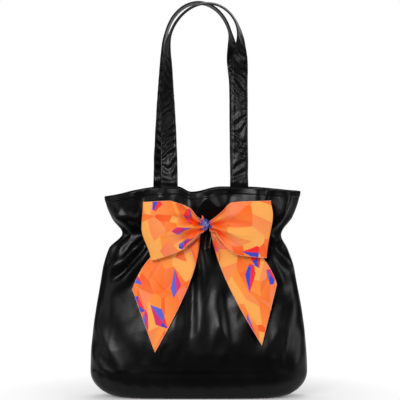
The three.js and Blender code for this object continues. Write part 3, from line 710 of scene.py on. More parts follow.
def rim_drop(around):
    """How far the rim hangs below its height: in a dip near the middle and at both ends."""
    reach = np.where(around < DIP_AT, *DIP_SHARES)
    dip = RIM_DIP * np.cos(math.pi / 2 * np.clip(np.abs(around - DIP_AT) / reach, 0, 1)) ** 2
    left = LEFT_CORNER_DROP * smooth(1 - around / CORNER_SHARE)
    return dip + left + RIGHT_CORNER_DROP * smooth(1 - (1 - around) / CORNER_SHARE)


def shift_at(row):
    """How far the cloth lies to the right of the bag's middle."""
    corner = BELLY_SHIFT * np.sin((1 + np.minimum(row, 0)) * math.pi / 2)
    wall = mix(BELLY_SHIFT, COLLAR_SHIFT, smooth((row - GATHER_HEIGHT) / SHIFT_HEIGHT))
    return np.where(row > 0, wall, corner)


def cloth_point(around, row, depth):
    """A point of the front half. Rows from -1 to 0 round the bottom corner, and rows above 0 are heights."""
    around, row, depth = np.broadcast_arrays(np.asarray(around, float), row, depth)
    wall = row > 0
    height = np.maximum(row, BELLY_HEIGHT)
    turn = (1 + np.minimum(row, 0)) * math.pi / 2
    out, up = np.sin(turn), np.cos(turn)
    corner_width = mix(BASE[0], STATION_HALF_WIDTHS[0], out) - depth * out
    corner_depth = mix(BASE[1], STATION_HALF_DEPTHS[0], out) - depth * out
    width = np.where(wall, half_width_at(height) - depth, corner_width)
    deep = np.where(wall, half_depth_at(height) - depth, corner_depth)
    z = np.where(wall, height, BELLY_HEIGHT * (1 - up) + depth * up)
    fold = 2 / np.where(wall, squareness_at(height), BASE_SQUARENESS)
    angle = angle_around(around)
    c, s = -np.cos(angle), np.maximum(np.sin(angle), 0)
    lift = np.where(wall, smooth((row - NECK_HEIGHT) / COLLAR_HEIGHT), 0)
    flute = FLUTE_DEPTH * (0.5 - 0.5 * np.cos(2 * math.pi * FLUTES * around)) * lift
    x = width * np.sign(c) * np.abs(c) ** fold + shift_at(row)
    return np.stack([x, -deep * s**fold - flute - SEAM / 2, z - rim_drop(around) * lift], -1)


def face_y(x, height):
    """The plain front face's y at a place below the collar."""
    share = np.clip(np.abs(x - shift_at(height)) / half_width_at(height), 0, 1)
    squareness = squareness_at(height)
    return -half_depth_at(height) * (1 - share**squareness) ** (1 / squareness) - SEAM / 2


print("front of the belly at y =", face_y(0.0, BELLY_HEIGHT).round(4))

# %% [markdown]
# ## The gathered panels
# A panel is cut nearly straight and the ribbon draws it in, so its spare width stands up in gathers that run out
# into the body and the collar. The gathers are first laid in: ridges at the neck, some short and some
# long, and a few broad folds that hang lower. An empty bag is slack as well: its belly swells, the cloth above it
# sinks in, and the collar puffs out over the channel.

# %% Gathers at the neck
COLUMNS = 110
AROUND = np.linspace(0, 1, COLUMNS + 1)[None]
ROWS = np.concatenate([
    np.linspace(-1, 0, 11), np.arange(0.0455, 0.205, 0.0040), np.arange(0.2065, 0.322, 0.0026),
    np.array([0.3225, 0.3246, 0.3254, 0.3268, 0.3290, 0.3315, 0.3330, 0.3340]),
])
ROW = ROWS[:, None]
BACK, LEVEL, UP = np.array([1, -1, 1]), np.array([1, 1, 0]), np.array([0, 0, 1])
GATHERS, GATHER_STRAY, GATHER_HEIGHTS = 15, 0.28, (0.0034, 0.0062)
GATHER_HALF_WIDTH, WIDTH_STRAY, GATHER_SPREAD = 0.019, (0.8, 1.2), 0.055
RUNS_DOWN, DOWN_CHANCES = [0.022, 0.034, 0.055, 0.090], [0.3, 0.3, 0.25, 0.15]
RUNS_UP, UP_CHANCES = [0.022, 0.040, 0.070], [0.3, 0.4, 0.3]
VALLEY_DEPTHS, VALLEY_SHARE = (0.0015, 0.0040), 0.7
CHANNEL_HALF = 0.019


def gather_swell(around, row, seed):
    """How far the gathers stand out from the plain face."""
    random = np.random.default_rng(seed)
    rise = row - NECK_HEIGHT
    swell = np.zeros(np.broadcast(around, row).shape)
    for i in range(GATHERS):
        centre = (i + 0.5 + random.uniform(-GATHER_STRAY, GATHER_STRAY)) / GATHERS
        height = random.uniform(*GATHER_HEIGHTS)
        down = random.choice(RUNS_DOWN, p=DOWN_CHANCES)
        up = random.choice(RUNS_UP, p=UP_CHANCES)
        fade = bell(rise, np.where(rise < 0, down, up))
        width = GATHER_HALF_WIDTH * random.uniform(*WIDTH_STRAY) * (1 + np.abs(rise) / GATHER_SPREAD)
        swell = swell + height * fade * bell(around - centre, width)
        valley = random.uniform(*VALLEY_DEPTHS) * fade * (1 - bell(rise, CHANNEL_HALF, 4))
        swell = swell - valley * bell(around - centre - 0.5 / GATHERS, VALLEY_SHARE * width)
    return np.where(row > 0, swell, 0)


print("gathers on each panel:", GATHERS)

# %% Folds in the body and the collar
FOLD_HALF_LENGTH = 0.48
FRONT_FOLDS = [
    ((-0.012, 0.250), (-0.013, 0.070), 0.009, -0.0036), ((-0.001, 0.245), (-0.003, 0.075), 0.010, 0.0024),
    ((0.026, 0.170), (0.034, 0.070), 0.010, 0.0024), ((0.043, 0.180), (0.052, 0.085), 0.012, -0.0026),
    ((-0.034, 0.200), (-0.046, 0.095), 0.015, 0.0030), ((-0.188, 0.155), (-0.122, 0.040), 0.009, 0.0023),
    ((-0.164, 0.155), (-0.102, 0.055), 0.014, -0.0020), ((-0.186, 0.095), (-0.146, 0.035), 0.008, 0.0024),
    ((0.170, 0.170), (0.108, 0.060), 0.017, 0.0050), ((0.135, 0.180), (0.082, 0.080), 0.015, -0.0048),
    ((0.158, 0.120), (0.154, 0.045), 0.014, 0.0048), ((-0.084, 0.252), (-0.146, 0.200), 0.0075, 0.0068),
    ((-0.080, 0.240), (-0.136, 0.172), 0.0085, 0.0058), ((-0.080, 0.247), (-0.142, 0.187), 0.0055, -0.0046),
    ((0.105, 0.252), (0.148, 0.205), 0.0075, 0.0064), ((0.098, 0.246), (0.136, 0.180), 0.0080, 0.0050),
    ((-0.134, 0.292), (-0.094, 0.279), 0.011, 0.0090), ((-0.090, 0.338), (-0.098, 0.280), 0.010, -0.0045),
    ((0.142, 0.330), (0.112, 0.270), 0.009, 0.0080), ((0.118, 0.338), (0.098, 0.274), 0.008, -0.0056),
    ((0.088, 0.338), (0.082, 0.285), 0.013, 0.0066), ((0.012, 0.330), (0.010, 0.288), 0.011, 0.0056),
    ((-0.020, 0.335), (-0.012, 0.285), 0.009, -0.0050), ((-0.062, 0.335), (-0.048, 0.292), 0.011, 0.0056),
    ((0.050, 0.335), (0.042, 0.290), 0.010, -0.0040),
]
BACK_FOLDS = [
    ((0.020, 0.245), (0.026, 0.085), 0.008, 0.0034), ((0.010, 0.240), (0.014, 0.100), 0.007, -0.0034),
    ((-0.045, 0.240), (-0.052, 0.105), 0.009, 0.0032), ((-0.166, 0.155), (-0.118, 0.062), 0.013, 0.0050),
    ((0.166, 0.145), (0.120, 0.055), 0.013, 0.0050), ((0.090, 0.248), (0.130, 0.190), 0.007, 0.0046),
    ((-0.098, 0.250), (-0.138, 0.200), 0.006, 0.0046), ((-0.110, 0.335), (-0.104, 0.275), 0.010, 0.0044),
    ((0.070, 0.335), (0.066, 0.280), 0.011, 0.0040), ((0.095, 0.335), (0.088, 0.280), 0.008, -0.0034),
]


def drawn_folds(x, z, folds):
    """Ridges along straight lines on the face, fading at both ends. Each is (start, end, half width, height)."""
    swell = np.zeros_like(x)
    for (x0, z0), (x1, z1), width, height in folds:
        dx, dz = x1 - x0, z1 - z0
        along = ((x - x0) * dx + (z - z0) * dz) / (dx * dx + dz * dz)
        off = ((x - x0) * dz - (z - z0) * dx) / math.hypot(dx, dz)
        swell += height * bell(off, width) * bell(along - 0.5, FOLD_HALF_LENGTH, 4)
    return swell


print("folds:", len(FRONT_FOLDS), "in front and", len(BACK_FOLDS), "behind")

# %% Slack and hem, and both panels laid
BELLY_SWELL, BELLY_AT, BELLY_SPREAD = 0.0032, 0.088, 0.034
COLLAR_PUFF, PUFF_AT, PUFF_SPREAD = 0.0080, 0.298, 0.020
HOLLOW_SINK, HOLLOW_AT, HOLLOW_SPREAD = 0.0085, 0.182, 0.050
SLACK_HALF_WIDTH, SEAM_FADE, SEAM_GATHERS = 0.125, 0.04, 0.35
DEEPEST_FOLD, DEEPEST_IN_CHANNEL = -0.012, -0.0002
STITCH_HEIGHT = RIM_HEIGHT - 0.0085
HEM_STEP, HEM_START, HEM_RUN = 0.0006, 0.0002, 0.0012


def slack_swell(x, z):
    """An empty bag's slack: a soft belly low down, a hollow above it and a puffed collar over the channel."""
    puff = COLLAR_PUFF * bell(z - PUFF_AT, PUFF_SPREAD)
    belly = BELLY_SWELL * bell(z - BELLY_AT, BELLY_SPREAD)
    hollow = HOLLOW_SINK * bell(z - HOLLOW_AT, HOLLOW_SPREAD)
    return (belly - hollow + puff) * bell(np.abs(x), SLACK_HALF_WIDTH, 4)


def laid_panel(seed, folds):
    """One panel in its front-half place, with gathers, folds and the thicker hem above the topstitch."""
    seam_fade = smooth(np.minimum(AROUND, 1 - AROUND) / SEAM_FADE)
    swell = gather_swell(AROUND, ROW, seed) * mix(SEAM_GATHERS, 1, seam_fade)
    x, _, z = np.moveaxis(plain_front, -1, 0)
    swell = swell + (drawn_folds(x, z, folds) + slack_swell(x, z)) * (ROW > 0) * seam_fade
    in_channel = bell(ROW - NECK_HEIGHT, CHANNEL_HALF, 4)
    swell = np.maximum(swell, mix(DEEPEST_FOLD, DEEPEST_IN_CHANNEL, in_channel))
    hem = HEM_STEP * smooth((ROW - STITCH_HEIGHT - HEM_START) / HEM_RUN)
    return cloth_point(AROUND, ROW, -swell - hem)


plain_front = cloth_point(AROUND, ROW, 0.0)
front_laid = laid_panel(11, FRONT_FOLDS)
back_laid = laid_panel(23, BACK_FOLDS) * BACK
print("panel grid:", front_laid.shape[:2], "points")

# %% [markdown]
# ## The cloth settles
# Both panels are joined to one tube and handed to Blender's cloth with the width that they were cut to, held at
# the base, the channel and the rim, so that the spare width finds its own soft folds. What the cloth has moved is
# then rounded off, because thin satin lies in smooth folds and small jitters would break its highlights.

# %% Cut width, and where the cloth is held
CUT_AT_NECK, CUT_AT_RIM, CUT_AT_BODY, CUT_NEAR_NECK = 1.24, 1.06, 1.03, 0.050
HELD_LOW = 0.062
HELD_CHANNEL, CHANNEL_FADE = 0.004, 0.006
HELD_RIM, RIM_FADE = 0.014, 0.012
FILLED_FROM, FILLED_TO, FILLED_FADE = 0.06, 0.10, 0.10


def ring_of(front, back):
    """Both panels as one tube that starts at the left side seam."""
    ring = np.concatenate([front, back[:, -2:0:-1]], axis=1)
    ring[:, (0, COLUMNS), 1] = 0
    return ring


laid = ring_of(front_laid, back_laid)
bare = ring_of(plain_front, plain_front * BACK)
collar_share = smooth((ROW - NECK_HEIGHT) / COLLAR_HEIGHT)
cut_width = mix(CUT_AT_BODY, CUT_AT_RIM, collar_share)
cut_width = cut_width + (CUT_AT_NECK - CUT_AT_BODY) * bell(ROW - NECK_HEIGHT, CUT_NEAR_NECK)
cut = bare * np.concatenate([cut_width, cut_width, np.ones_like(cut_width)], 1)[:, None]
held = np.maximum.reduce([
    fade_out(np.maximum(ROW, 0), 0, HELD_LOW), fade_out(np.abs(ROW - NECK_HEIGHT), HELD_CHANNEL, CHANNEL_FADE),
    smooth((ROW - (RIM_HEIGHT - HELD_RIM)) / RIM_FADE),
])
held = np.broadcast_to(held, laid.shape[:2]).copy()
held[:, (0, COLUMNS)] = 1
filled = smooth(ROW / FILLED_FROM) * fade_out(ROW, FILLED_TO, FILLED_FADE)
weights = {"held": held, "filled": np.broadcast_to(filled, laid.shape[:2])}
print("points held fast:", int((held == 1).sum()), "of", held.size)

# %% Cloth simulation of the two panels together
CLOTH_FRAMES = 26
CLOTH_GRAVITY = 0.1
CLOTH_MOVE_LIMIT = 0.008
SETTLE_SOFTEN = 4
SATIN_CLOTH = {
    "quality": 7, "mass": 0.02, "air_damping": 3.0, "tension_stiffness": 12.0, "compression_stiffness": 12.0,
    "shear_stiffness": 3.0, "bending_stiffness": 0.1, "vertex_group_mass": "held", "pin_stiffness": 1.0,
    "use_pressure": True, "uniform_pressure_force": 0.5, "vertex_group_pressure": "filled",
}


def softened(grid, times):
    """Rounds off a grid along its rows, keeping its two ends."""
    grid = grid.copy()
    for _ in range(times):
        grid[:, 1:-1] = 0.25 * grid[:, :-2] + 0.5 * grid[:, 1:-1] + 0.25 * grid[:, 2:]
    return grid


def simulate(start, cut, weights):
    """Runs Blender's cloth on a tube of points and returns where they come to rest."""
    rows, columns = start.shape[:2]
    faces = quads(rows, columns, wrap=True)
    piece = new_piece("cloth_study", start, faces, np.zeros_like(start), FINISHES["black_satin"])
    piece.shape_key_add(name="laid")
    cut_key = piece.shape_key_add(name="cut")
    cut_key.data.foreach_set("co", cut.astype(np.float32).ravel())
    for label, weight in weights.items():
        group = piece.vertex_groups.new(name=label)
        for level in np.unique(weight.round(2)):
            group.add(np.flatnonzero(weight.round(2).ravel() == level).tolist(), float(level), "REPLACE")
    cloth = piece.modifiers.new("cloth", "CLOTH")
    for setting, value in SATIN_CLOTH.items():
        setattr(cloth.settings, setting, value)
    cloth.settings.rest_shape_key = cut_key
    cloth.settings.effector_weights.gravity = CLOTH_GRAVITY
    cloth.collision_settings.use_collision = False
    cloth.point_cache.frame_end = CLOTH_FRAMES
    scene = bpy.context.scene
    for at in range(1, CLOTH_FRAMES + 1):
        scene.frame_set(at)
    settled = piece.evaluated_get(bpy.context.evaluated_depsgraph_get()).data
    points = np.zeros(len(settled.vertices) * 3, np.float32)
    settled.vertices.foreach_get("co", points)
    mesh = piece.data
    bpy.data.objects.remove(piece)
    bpy.data.meshes.remove(mesh)
    scene.frame_set(1)
    return points.reshape(start.shape).astype(float)


shell = simulate(laid, cut, weights)
moved = softened(softened(shell - laid, SETTLE_SOFTEN).swapaxes(0, 1), SETTLE_SOFTEN).swapaxes(0, 1)
distance = np.linalg.norm(moved, axis=2, keepdims=True)
shell = laid + moved * np.minimum(1, CLOTH_MOVE_LIMIT / np.maximum(distance, 1e-9))
print("cloth moved, mm: at most", (distance.max() / MM).round(1), "on average", (distance.mean() / MM).round(2))

# %% [markdown]
# ## Panels with a turned rim
# The settled tube is split at its side seams into a front and a back panel. Each is refined, crinkled a little
# where it was drawn in, rumpled lower down as handled satin is, nipped at the seams and turned over at the rim.
# The front is kept behind the bow's tails.

# %% Room for the bow in front
TAIL_ROOM, GATHER_ROOM, ROOM_SPREAD = 0.0030, 0.005, 0.034
BOW_MIDDLE, BOW_HALF_WIDTH, ROOM_BESIDE_BOW = 0.012, 0.118, 0.012
COLLAR_ROOM, COLLAR_FROM, ROOM_FADE = 0.005, 0.285, 0.02
front_shell = shell[:, : COLUMNS + 1].copy()
back_shell = shell[:, (2 * COLUMNS - np.arange(COLUMNS + 1)) % (2 * COLUMNS)].copy()
beside_bow = smooth((np.abs(plain_front[..., 0] - BOW_MIDDLE) - BOW_HALF_WIDTH) / ROOM_FADE)
room = TAIL_ROOM + GATHER_ROOM * bell(ROW - NECK_HEIGHT, ROOM_SPREAD) + ROOM_BESIDE_BOW * beside_bow
room = room + COLLAR_ROOM * smooth((ROW - COLLAR_FROM) / ROOM_FADE)
front_shell[..., 1] = np.maximum(front_shell[..., 1], plain_front[..., 1] - room)
print("foremost point of the front panel:", front_shell[..., 1].min().round(4))

# %% Outer faces
CRINKLE, CRINKLE_SPREAD, COLLAR_CRINKLE, FINE_CRINKLE = 0.00032, 0.045, 0.4, 0.6
CRINKLE_ACROSS, CRINKLE_ALONG, FINE_ACROSS, FINE_ALONG = 0.013, 0.026, 0.006, 0.012
RUMPLE, RUMPLE_CREASE, RUMPLE_ACROSS, RUMPLE_ALONG = 0.0005, 0.5, 0.014, 0.030
RUMPLE_TOP, RUMPLE_FADE = 0.20, 0.05
SEAM_NIP, NIP_SHARE, SEAM_SHARE, HEM_FADE = 0.0008, 0.006, 0.03, 0.03
FINER = 2


def refine(grid, times=FINER):
    """A finer grid on a smooth curve through the rows and the columns of a coarse one."""
    for axis in (0, 1):
        grid = np.swapaxes(grid, 0, axis)
        count = len(grid)
        at = np.linspace(0, count - 1, (count - 1) * times + 1)
        i = np.minimum(at.astype(int), count - 2)
        t = (at - i)[:, None, None]
        before, after = grid[np.maximum(i - 1, 0)], grid[np.minimum(i + 2, count - 1)]
        low, high = grid[i], grid[i + 1]
        bend = 2 * before - 5 * low + 4 * high - after
        twist = 3 * (low - high) + after - before
        grid = 0.5 * (2 * low + (high - before) * t + bend * t**2 + twist * t**3)
        grid = np.swapaxes(grid, 0, axis)
    return grid


def finished_face(panel, side, seed):
    """A fine outer face, with crinkles near the neck, rumples below and a nip at each side seam."""
    fine = refine(panel)
    across, along = lengths_along(fine, 1), lengths_along(fine, 0)
    rise = fine[..., 2] - NECK_HEIGHT
    drawn_in = bell(rise, CRINKLE_SPREAD) + COLLAR_CRINKLE * smooth(rise / HEM_FADE)
    crinkle = creased_noise(across / CRINKLE_ACROSS, along / CRINKLE_ALONG, seed)
    crinkle = crinkle + FINE_CRINKLE * soft_noise(across / FINE_ACROSS, along / FINE_ALONG, seed + 1)
    worn = (across / RUMPLE_ACROSS, along / RUMPLE_ALONG)
    rumple = soft_noise(*worn, seed + 2) + RUMPLE_CREASE * creased_noise(*worn, seed + 3)
    off_base = smooth(along / HEM_FADE)
    body = off_base * fade_out(fine[..., 2], RUMPLE_TOP, RUMPLE_FADE)
    share = np.linspace(0, 1, fine.shape[1])[None]
    from_seam = np.minimum(share, 1 - share)
    lift = CRINKLE * crinkle * np.clip(drawn_in, 0, 1) + RUMPLE * rumple * body
    lift = lift * smooth(from_seam / SEAM_SHARE) - SEAM_NIP * bell(from_seam, NIP_SHARE) * off_base
    return fine + grid_normals(fine) * side * lift[..., None]


faces_of = {"front": (finished_face(front_shell, 1, 31), 1), "back": (finished_face(back_shell, -1, 37), -1)}
print("fine grid:", faces_of["front"][0].shape[:2], "points")

# %% Front and back panels
TURN_RADIUS, TURN_STEPS, TURN_END = 0.0012, 6, 0.62 * math.pi


def sewn_on(piece, slot, *cad_nodes):
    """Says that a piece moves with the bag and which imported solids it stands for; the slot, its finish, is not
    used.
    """
    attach(piece, "bag")
    if cad_nodes:
        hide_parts(*cad_nodes)


def panel_with_rim(name, face, side):
    """A panel whose top edge turns over to the inside."""
    normal = grid_normals(face) * side
    middle = face - normal * SATIN / 2
    inward = unit(-normal[-1] * LEVEL)
    turns = np.linspace(0, TURN_END, TURN_STEPS + 1)[1:, None, None]
    rim = middle[-1] + TURN_RADIUS * (inward * (1 - np.cos(turns)) + UP * np.sin(turns))
    grid = np.concatenate([middle, rim])
    across = lengths_along(grid, 1)
    flat = flat_of(across - across[:, -1:] / 2, lengths_along(grid, 0))
    return cloth_sheet(name, grid, SATIN, flat, FINISHES["black_satin"])


for label, (face, side) in faces_of.items():
    panel = panel_with_rim(f"{label}_panel_satin", face, side)
    sewn_on(panel, "black_satin", f"{label}_panel")
    print(label, "panel faces:", len(panel.data.polygons))

# %% [markdown]
# ## Inside the mouth
# The mouth is faced with a band of the same satin, and below it hangs a lining. Both are offsets of the outer
# cloth, but smoothed, because an inner layer doesn't follow every crinkle. The lining is drawn in past the
# channel and is kept clear of the deepest valley between two gathers.

# %% Facings
FACING_BOTTOM, FACING_INSET, FACING_SOFTEN, FACING_PEEP = 0.292, 0.0023, 6, 0.0004


def measured_flat(grid, offset):
    """Flat coordinates measured on the cloth."""
    return flat_of(lengths_along(grid, 1), lengths_along(grid, 0), offset)


def fine_heights(face):
    """The row heights of a refined face."""
    return np.interp(np.arange(len(face)) / FINER, np.arange(len(ROWS)), ROWS)


def make_facing(label, face, side):
    """The satin band inside the rim. Gives the grid of its middle."""
    band = softened(face[fine_heights(face) >= FACING_BOTTOM], FACING_SOFTEN)
    grid = band - grid_normals(band) * side * FACING_INSET
    grid[-1, :, 2] += FACING_PEEP
    name, flat = f"{label}_facing_satin", measured_flat(grid, WEAR_AT["facing"])
    piece = cloth_sheet(name, grid, FACING, flat, FINISHES["black_satin"])
    sewn_on(piece, "black_satin", f"{label}_facing")
    return grid


facing_grids = {label: make_facing(label, face, side) for label, (face, side) in faces_of.items()}
print("facing grid:", facing_grids["front"].shape[:2], "points")

# %% Linings
LINING_INSET, FLOOR_INSET, CHANNEL_INSET, LINING_ROOM = 0.0020, 0.0040, 0.0054, 0.0006
LINING_WRINKLE, WRINKLES, WRINKLE_HEIGHT = 0.0007, 26, 0.05
CASING_BOTTOM, CASING_TOP, CASING_FADE = 0.246, 0.276, 0.008
LAST_ROW_GAP, SUNK_WINDOW = 0.001, 7


def make_lining(label, side, seed):
    """Half of the inner bag, from the floor to the facing."""
    rows = np.concatenate([ROWS[ROWS < FACING_BOTTOM - LAST_ROW_GAP], [FACING_BOTTOM - SEAM]])
    row = rows[:, None]
    corner = np.sin((1 + np.minimum(row, 0)) * math.pi / 2)
    channel = smooth((row - CASING_BOTTOM + CASING_FADE) / CASING_FADE) * fade_out(row, CASING_TOP, CASING_FADE)
    inset = mix(FLOOR_INSET, mix(LINING_INSET, CHANNEL_INSET, channel), corner)
    inset = np.maximum(inset, (np.interp(rows, ROWS, sunk)[:, None] + SATIN + LINING_ROOM) * corner)
    wrinkle = LINING_WRINKLE * (1 + soft_noise(AROUND * WRINKLES, row / WRINKLE_HEIGHT, seed))
    inset = inset + wrinkle * smooth(row / WRINKLE_HEIGHT) * (row > 0)
    grid = cloth_point(AROUND, row, inset + LINING / 2) * np.array([1, side, 1])
    name, flat = f"{label}_lining_cloth", measured_flat(grid, WEAR_AT["lining"])
    piece = cloth_sheet(name, grid, LINING, flat, FINISHES["lining_cloth"])
    sewn_on(piece, "lining_cloth", f"{label}_lining")


sunk = np.maximum(0, np.einsum("rci,rci->rc", bare - shell, unit(bare * LEVEL))).max(1)
sunk = np.pad(sunk, SUNK_WINDOW // 2, mode="edge")
sunk = np.convolve(sunk, np.ones(SUNK_WINDOW) / SUNK_WINDOW, "valid")
make_lining("front", 1, 41)
make_lining("back", -1, 43)
print("valleys reach in by", (sunk.max() / MM).round(2), "mm at most")

# %% [markdown]
# ## The base
# The bag stands on a flat base of satin with a stiff board behind it and the lining's floor on top. The board
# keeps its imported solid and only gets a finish. The base is sewn to the panels with a narrow welt.

# %% Base, and floor of the lining
BASE_RINGS, INNER_RING, HALF_OUTLINE = 14, 0.03, 100
RIPPLE_ACROSS, RIPPLE_DEEP = 0.03, 0.02
FLOOR_HEIGHT, SATIN_RIPPLE, FLOOR_RIPPLE = 0.0040, 0.0001, 0.0006


def base_outline(inset):
    """The base's rounded outline as a loop of points."""
    angle = angle_around(np.linspace(0, 1, HALF_OUTLINE + 1))
    c, s = -np.cos(angle), np.maximum(np.sin(angle), 0)
    fold = 2 / BASE_SQUARENESS
    x = (BASE[0] - inset) * np.sign(c) * np.abs(c) ** fold
    y = -(BASE[1] - inset) * s**fold
    return np.concatenate([np.stack([x, y], 1), np.stack([x, -y], 1)[-2:0:-1]])


def make_plate(name, bottom, thickness, ripple, seed, material):
    """A flat cloth of the base's outline, as rings that shrink to its middle."""
    outline = base_outline(SEAM)
    around = len(outline)
    shares = np.linspace(1, INNER_RING, BASE_RINGS)[:, None, None]
    rings = outline * shares
    wave = soft_noise(rings[..., 0] / RIPPLE_ACROSS, rings[..., 1] / RIPPLE_DEEP, seed)
    wave = np.abs(ripple * wave * (1 - shares[..., 0] ** 4))
    low, high, flat = (
        np.concatenate([rings, np.broadcast_to(z, rings.shape[:2])[..., None]], 2).reshape(-1, 3)
        for z in (bottom, bottom + thickness + wave, WEAR_AT["base"])
    )
    count = len(low)
    edge = np.stack([np.arange(around), (np.arange(around) + 1) % around], 1)
    inner = edge + count - around
    faces = np.concatenate([
        quads(BASE_RINGS, around, wrap=True)[:, ::-1], quads(BASE_RINGS, around, count, True),
        np.concatenate([edge, edge[:, ::-1] + count], 1), np.concatenate([inner[:, ::-1], inner + count], 1),
    ])
    return new_piece(name, np.concatenate([low, high]), faces, np.concatenate([flat, flat]), material)


base_satin = make_plate("base_satin", 0.0, SATIN, SATIN_RIPPLE, 51, FINISHES["black_satin"])
sewn_on(base_satin, "black_satin", "base_panel")
floor_cloth = FINISHES["lining_cloth"]
lining_floor = make_plate("lining_floor_cloth", FLOOR_HEIGHT, LINING, FLOOR_RIPPLE, 53, floor_cloth)
sewn_on(lining_floor, "lining_cloth", "lining_floor")
print("plate faces:", len(base_satin.data.polygons))

# %% Welt and board
WELT_RADIUS, WELT_OUT, WELT_LIFT = 0.0009, 0.0006, 0.0001
TUBE_END = 0.35
STEEP = 0.9


def tubes(name, lines, radius, material, sides=6):
    """An object of closed tubes along lines of points."""
    points, faces, flats, first = [], [], [], 0
    turn = np.arange(sides) * 2 * math.pi / sides
    fan = np.arange(1, sides - 1)
    for line in lines:
        ahead = unit(np.gradient(line, axis=0))
        helper = np.where(np.abs(ahead[:, 2:]) < STEEP, [[0, 0, 1.0]], [[1.0, 0, 0]])
        side = unit(np.cross(ahead, helper))
        up = np.cross(ahead, side)
        ring = side[:, None] * np.cos(turn)[:, None] + up[:, None] * np.sin(turn)[:, None]
        taper = np.full(len(line), radius)
        taper[[0, -1]] = radius * TUBE_END
        points.append((line[:, None] + ring * taper[:, None, None]).reshape(-1, 3))
        last = first + (len(line) - 1) * sides
        caps = [np.stack([0 * fan + at, at + fan, at + fan + 1, at + fan + 1], -1) for at in (first, last)]
        faces += [quads(len(line), sides, first, wrap=True), caps[0][:, ::-1], caps[1]]
        flats.append(flat_of(turn[None] * radius, reach_along(line)[:, None]).reshape(-1, 3))
        first += len(line) * sides
    return new_piece(name, np.concatenate(points), np.concatenate(faces), np.concatenate(flats), material)


welt = np.pad(base_outline(-WELT_OUT), ((0, 0), (0, 1)), constant_values=WELT_RADIUS + WELT_LIFT)
base_welt = tubes("base_welt", [np.concatenate([welt, welt[:2]])], WELT_RADIUS, FINISHES["black_satin"], sides=8)
sewn_on(base_welt, "black_satin")
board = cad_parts["base_board"]
board.data.materials.clear()
board.data.materials.append(FINISHES["base_board"])
print("base outline:", len(welt), "points")

# %% [markdown]
# ## The draw channel
# Inside the neck a tape is sewn along both its edges, and the ribbon runs in the channel behind it. It can only
# lie there folded, so its section is a zigzag of five runs that keeps the ribbon's whole width.

# %% Channel tapes
CASING_HEM, CASING = 0.005, 0.0008
INSIDE_SATIN = SATIN + SEAM
BAND_ROOM = 0.0024
TAPE_ROWS, TAPE_COLUMNS = 25, 161


def make_tape(label, side):
    """Half of the tape round the neck, sewn down along both edges."""
    rows = np.linspace(CASING_BOTTOM, CASING_TOP, TAPE_ROWS)[:, None]
    inner = smooth((rows - CASING_BOTTOM) / CASING_HEM) * smooth((CASING_TOP - rows) / CASING_HEM)
    depth = INSIDE_SATIN + BAND_ROOM * inner + CASING / 2
    grid = cloth_point(np.linspace(0, 1, TAPE_COLUMNS)[None], rows, depth) * np.array([1, side, 1])
    name, flat = f"{label}_channel_tape", measured_flat(grid, WEAR_AT["tape"])
    piece = cloth_sheet(name, grid, CASING, flat, FINISHES["channel_tape"])
    sewn_on(piece, "channel_tape", f"{label}_casing")


make_tape("front", 1)
make_tape("back", -1)
print("tape height:", round(CASING_TOP - CASING_BOTTOM, 4))

# %% The ribbon inside them
RIBBON, RIBBON_WIDTH, RIBBON_RUNS, RUN_STEPS = 0.00048, 0.090, 5, 6
RUN_HALF_HEIGHT, RUNS_FROM, RUNS_DEEP, FOLDED_RIBBON = 0.0090, 0.0003, 0.0011, 0.00015
SLIT_SHARE, SLIT_HALF, SIDE_SHARE = 0.92, 0.012, 0.004
END_COLUMNS, BACK_COLUMNS = 50, 120
knot_low, knot_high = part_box("bow_knot")
KNOT = np.array((knot_low + knot_high) / 2)


def make_neck_band():
    """The ribbon from one slit, round the back of the neck, to the other slit."""
    slit = 0.5 + 0.5 * KNOT[0] / NECK_HALF_WIDTH * SLIT_SHARE
    shares = np.concatenate([
        np.linspace(slit - SLIT_HALF, SIDE_SHARE, END_COLUMNS), np.linspace(SIDE_SHARE, 1 - SIDE_SHARE, BACK_COLUMNS),
        np.linspace(1 - SIDE_SHARE, slit + SLIT_HALF, END_COLUMNS),
    ])
    sides = np.repeat([1, -1, 1], [END_COLUMNS, BACK_COLUMNS, END_COLUMNS])
    runs = np.linspace(0, RIBBON_RUNS, RIBBON_RUNS * RUN_STEPS + 1)[:, None]
    rows = NECK_HEIGHT + RUN_HALF_HEIGHT * (np.abs(runs % 2 - 1) * 2 - 1)
    grid = cloth_point(shares[None], rows, INSIDE_SATIN + RUNS_FROM + RUNS_DEEP * (runs / RIBBON_RUNS))
    grid[..., 1] *= sides
    flat = measured_flat(grid, WEAR_AT["neck band"])
    return cloth_sheet("ribbon_neck_band", grid, FOLDED_RIBBON, flat, FINISHES["printed_ribbon"])


neck_band = make_neck_band()
sewn_on(neck_band, "printed_ribbon", "ribbon_neck_run")
print("knot at", KNOT.round(4).tolist())

# %% [markdown]
# ## Topstitching
# A hem on satin is held by a row of lockstitches: short humps of thread with a needle hole between them. Each
# stitch is a small tube that dips into the cloth at both ends, so the row stays crisp in a close view.

# %% Topstitch below the rim
STITCH, STITCH_GAP, THREAD_RADIUS = 0.0026, 0.0006, 0.00022
STITCH_HUMP = THREAD_RADIUS * np.array([[-0.9], [0.5], [0.8], [0.5], [-0.9]])


def points_at(line, reach, at):
    """Points of a line at given lengths along it."""
    return np.stack([np.interp(at, reach, line[:, i]) for i in range(3)], 1)


def stitch_lines(line, normal):
    """Short curved lines along a path on the cloth, one for each stitch."""
    reach = reach_along(line)
    made = []
    for start in np.arange(STITCH_GAP, reach[-1] - STITCH, STITCH + STITCH_GAP):
        at = start + np.linspace(0, STITCH, len(STITCH_HUMP))
        made.append(points_at(line, reach, at) + points_at(normal, reach, at) * STITCH_HUMP)
    return made


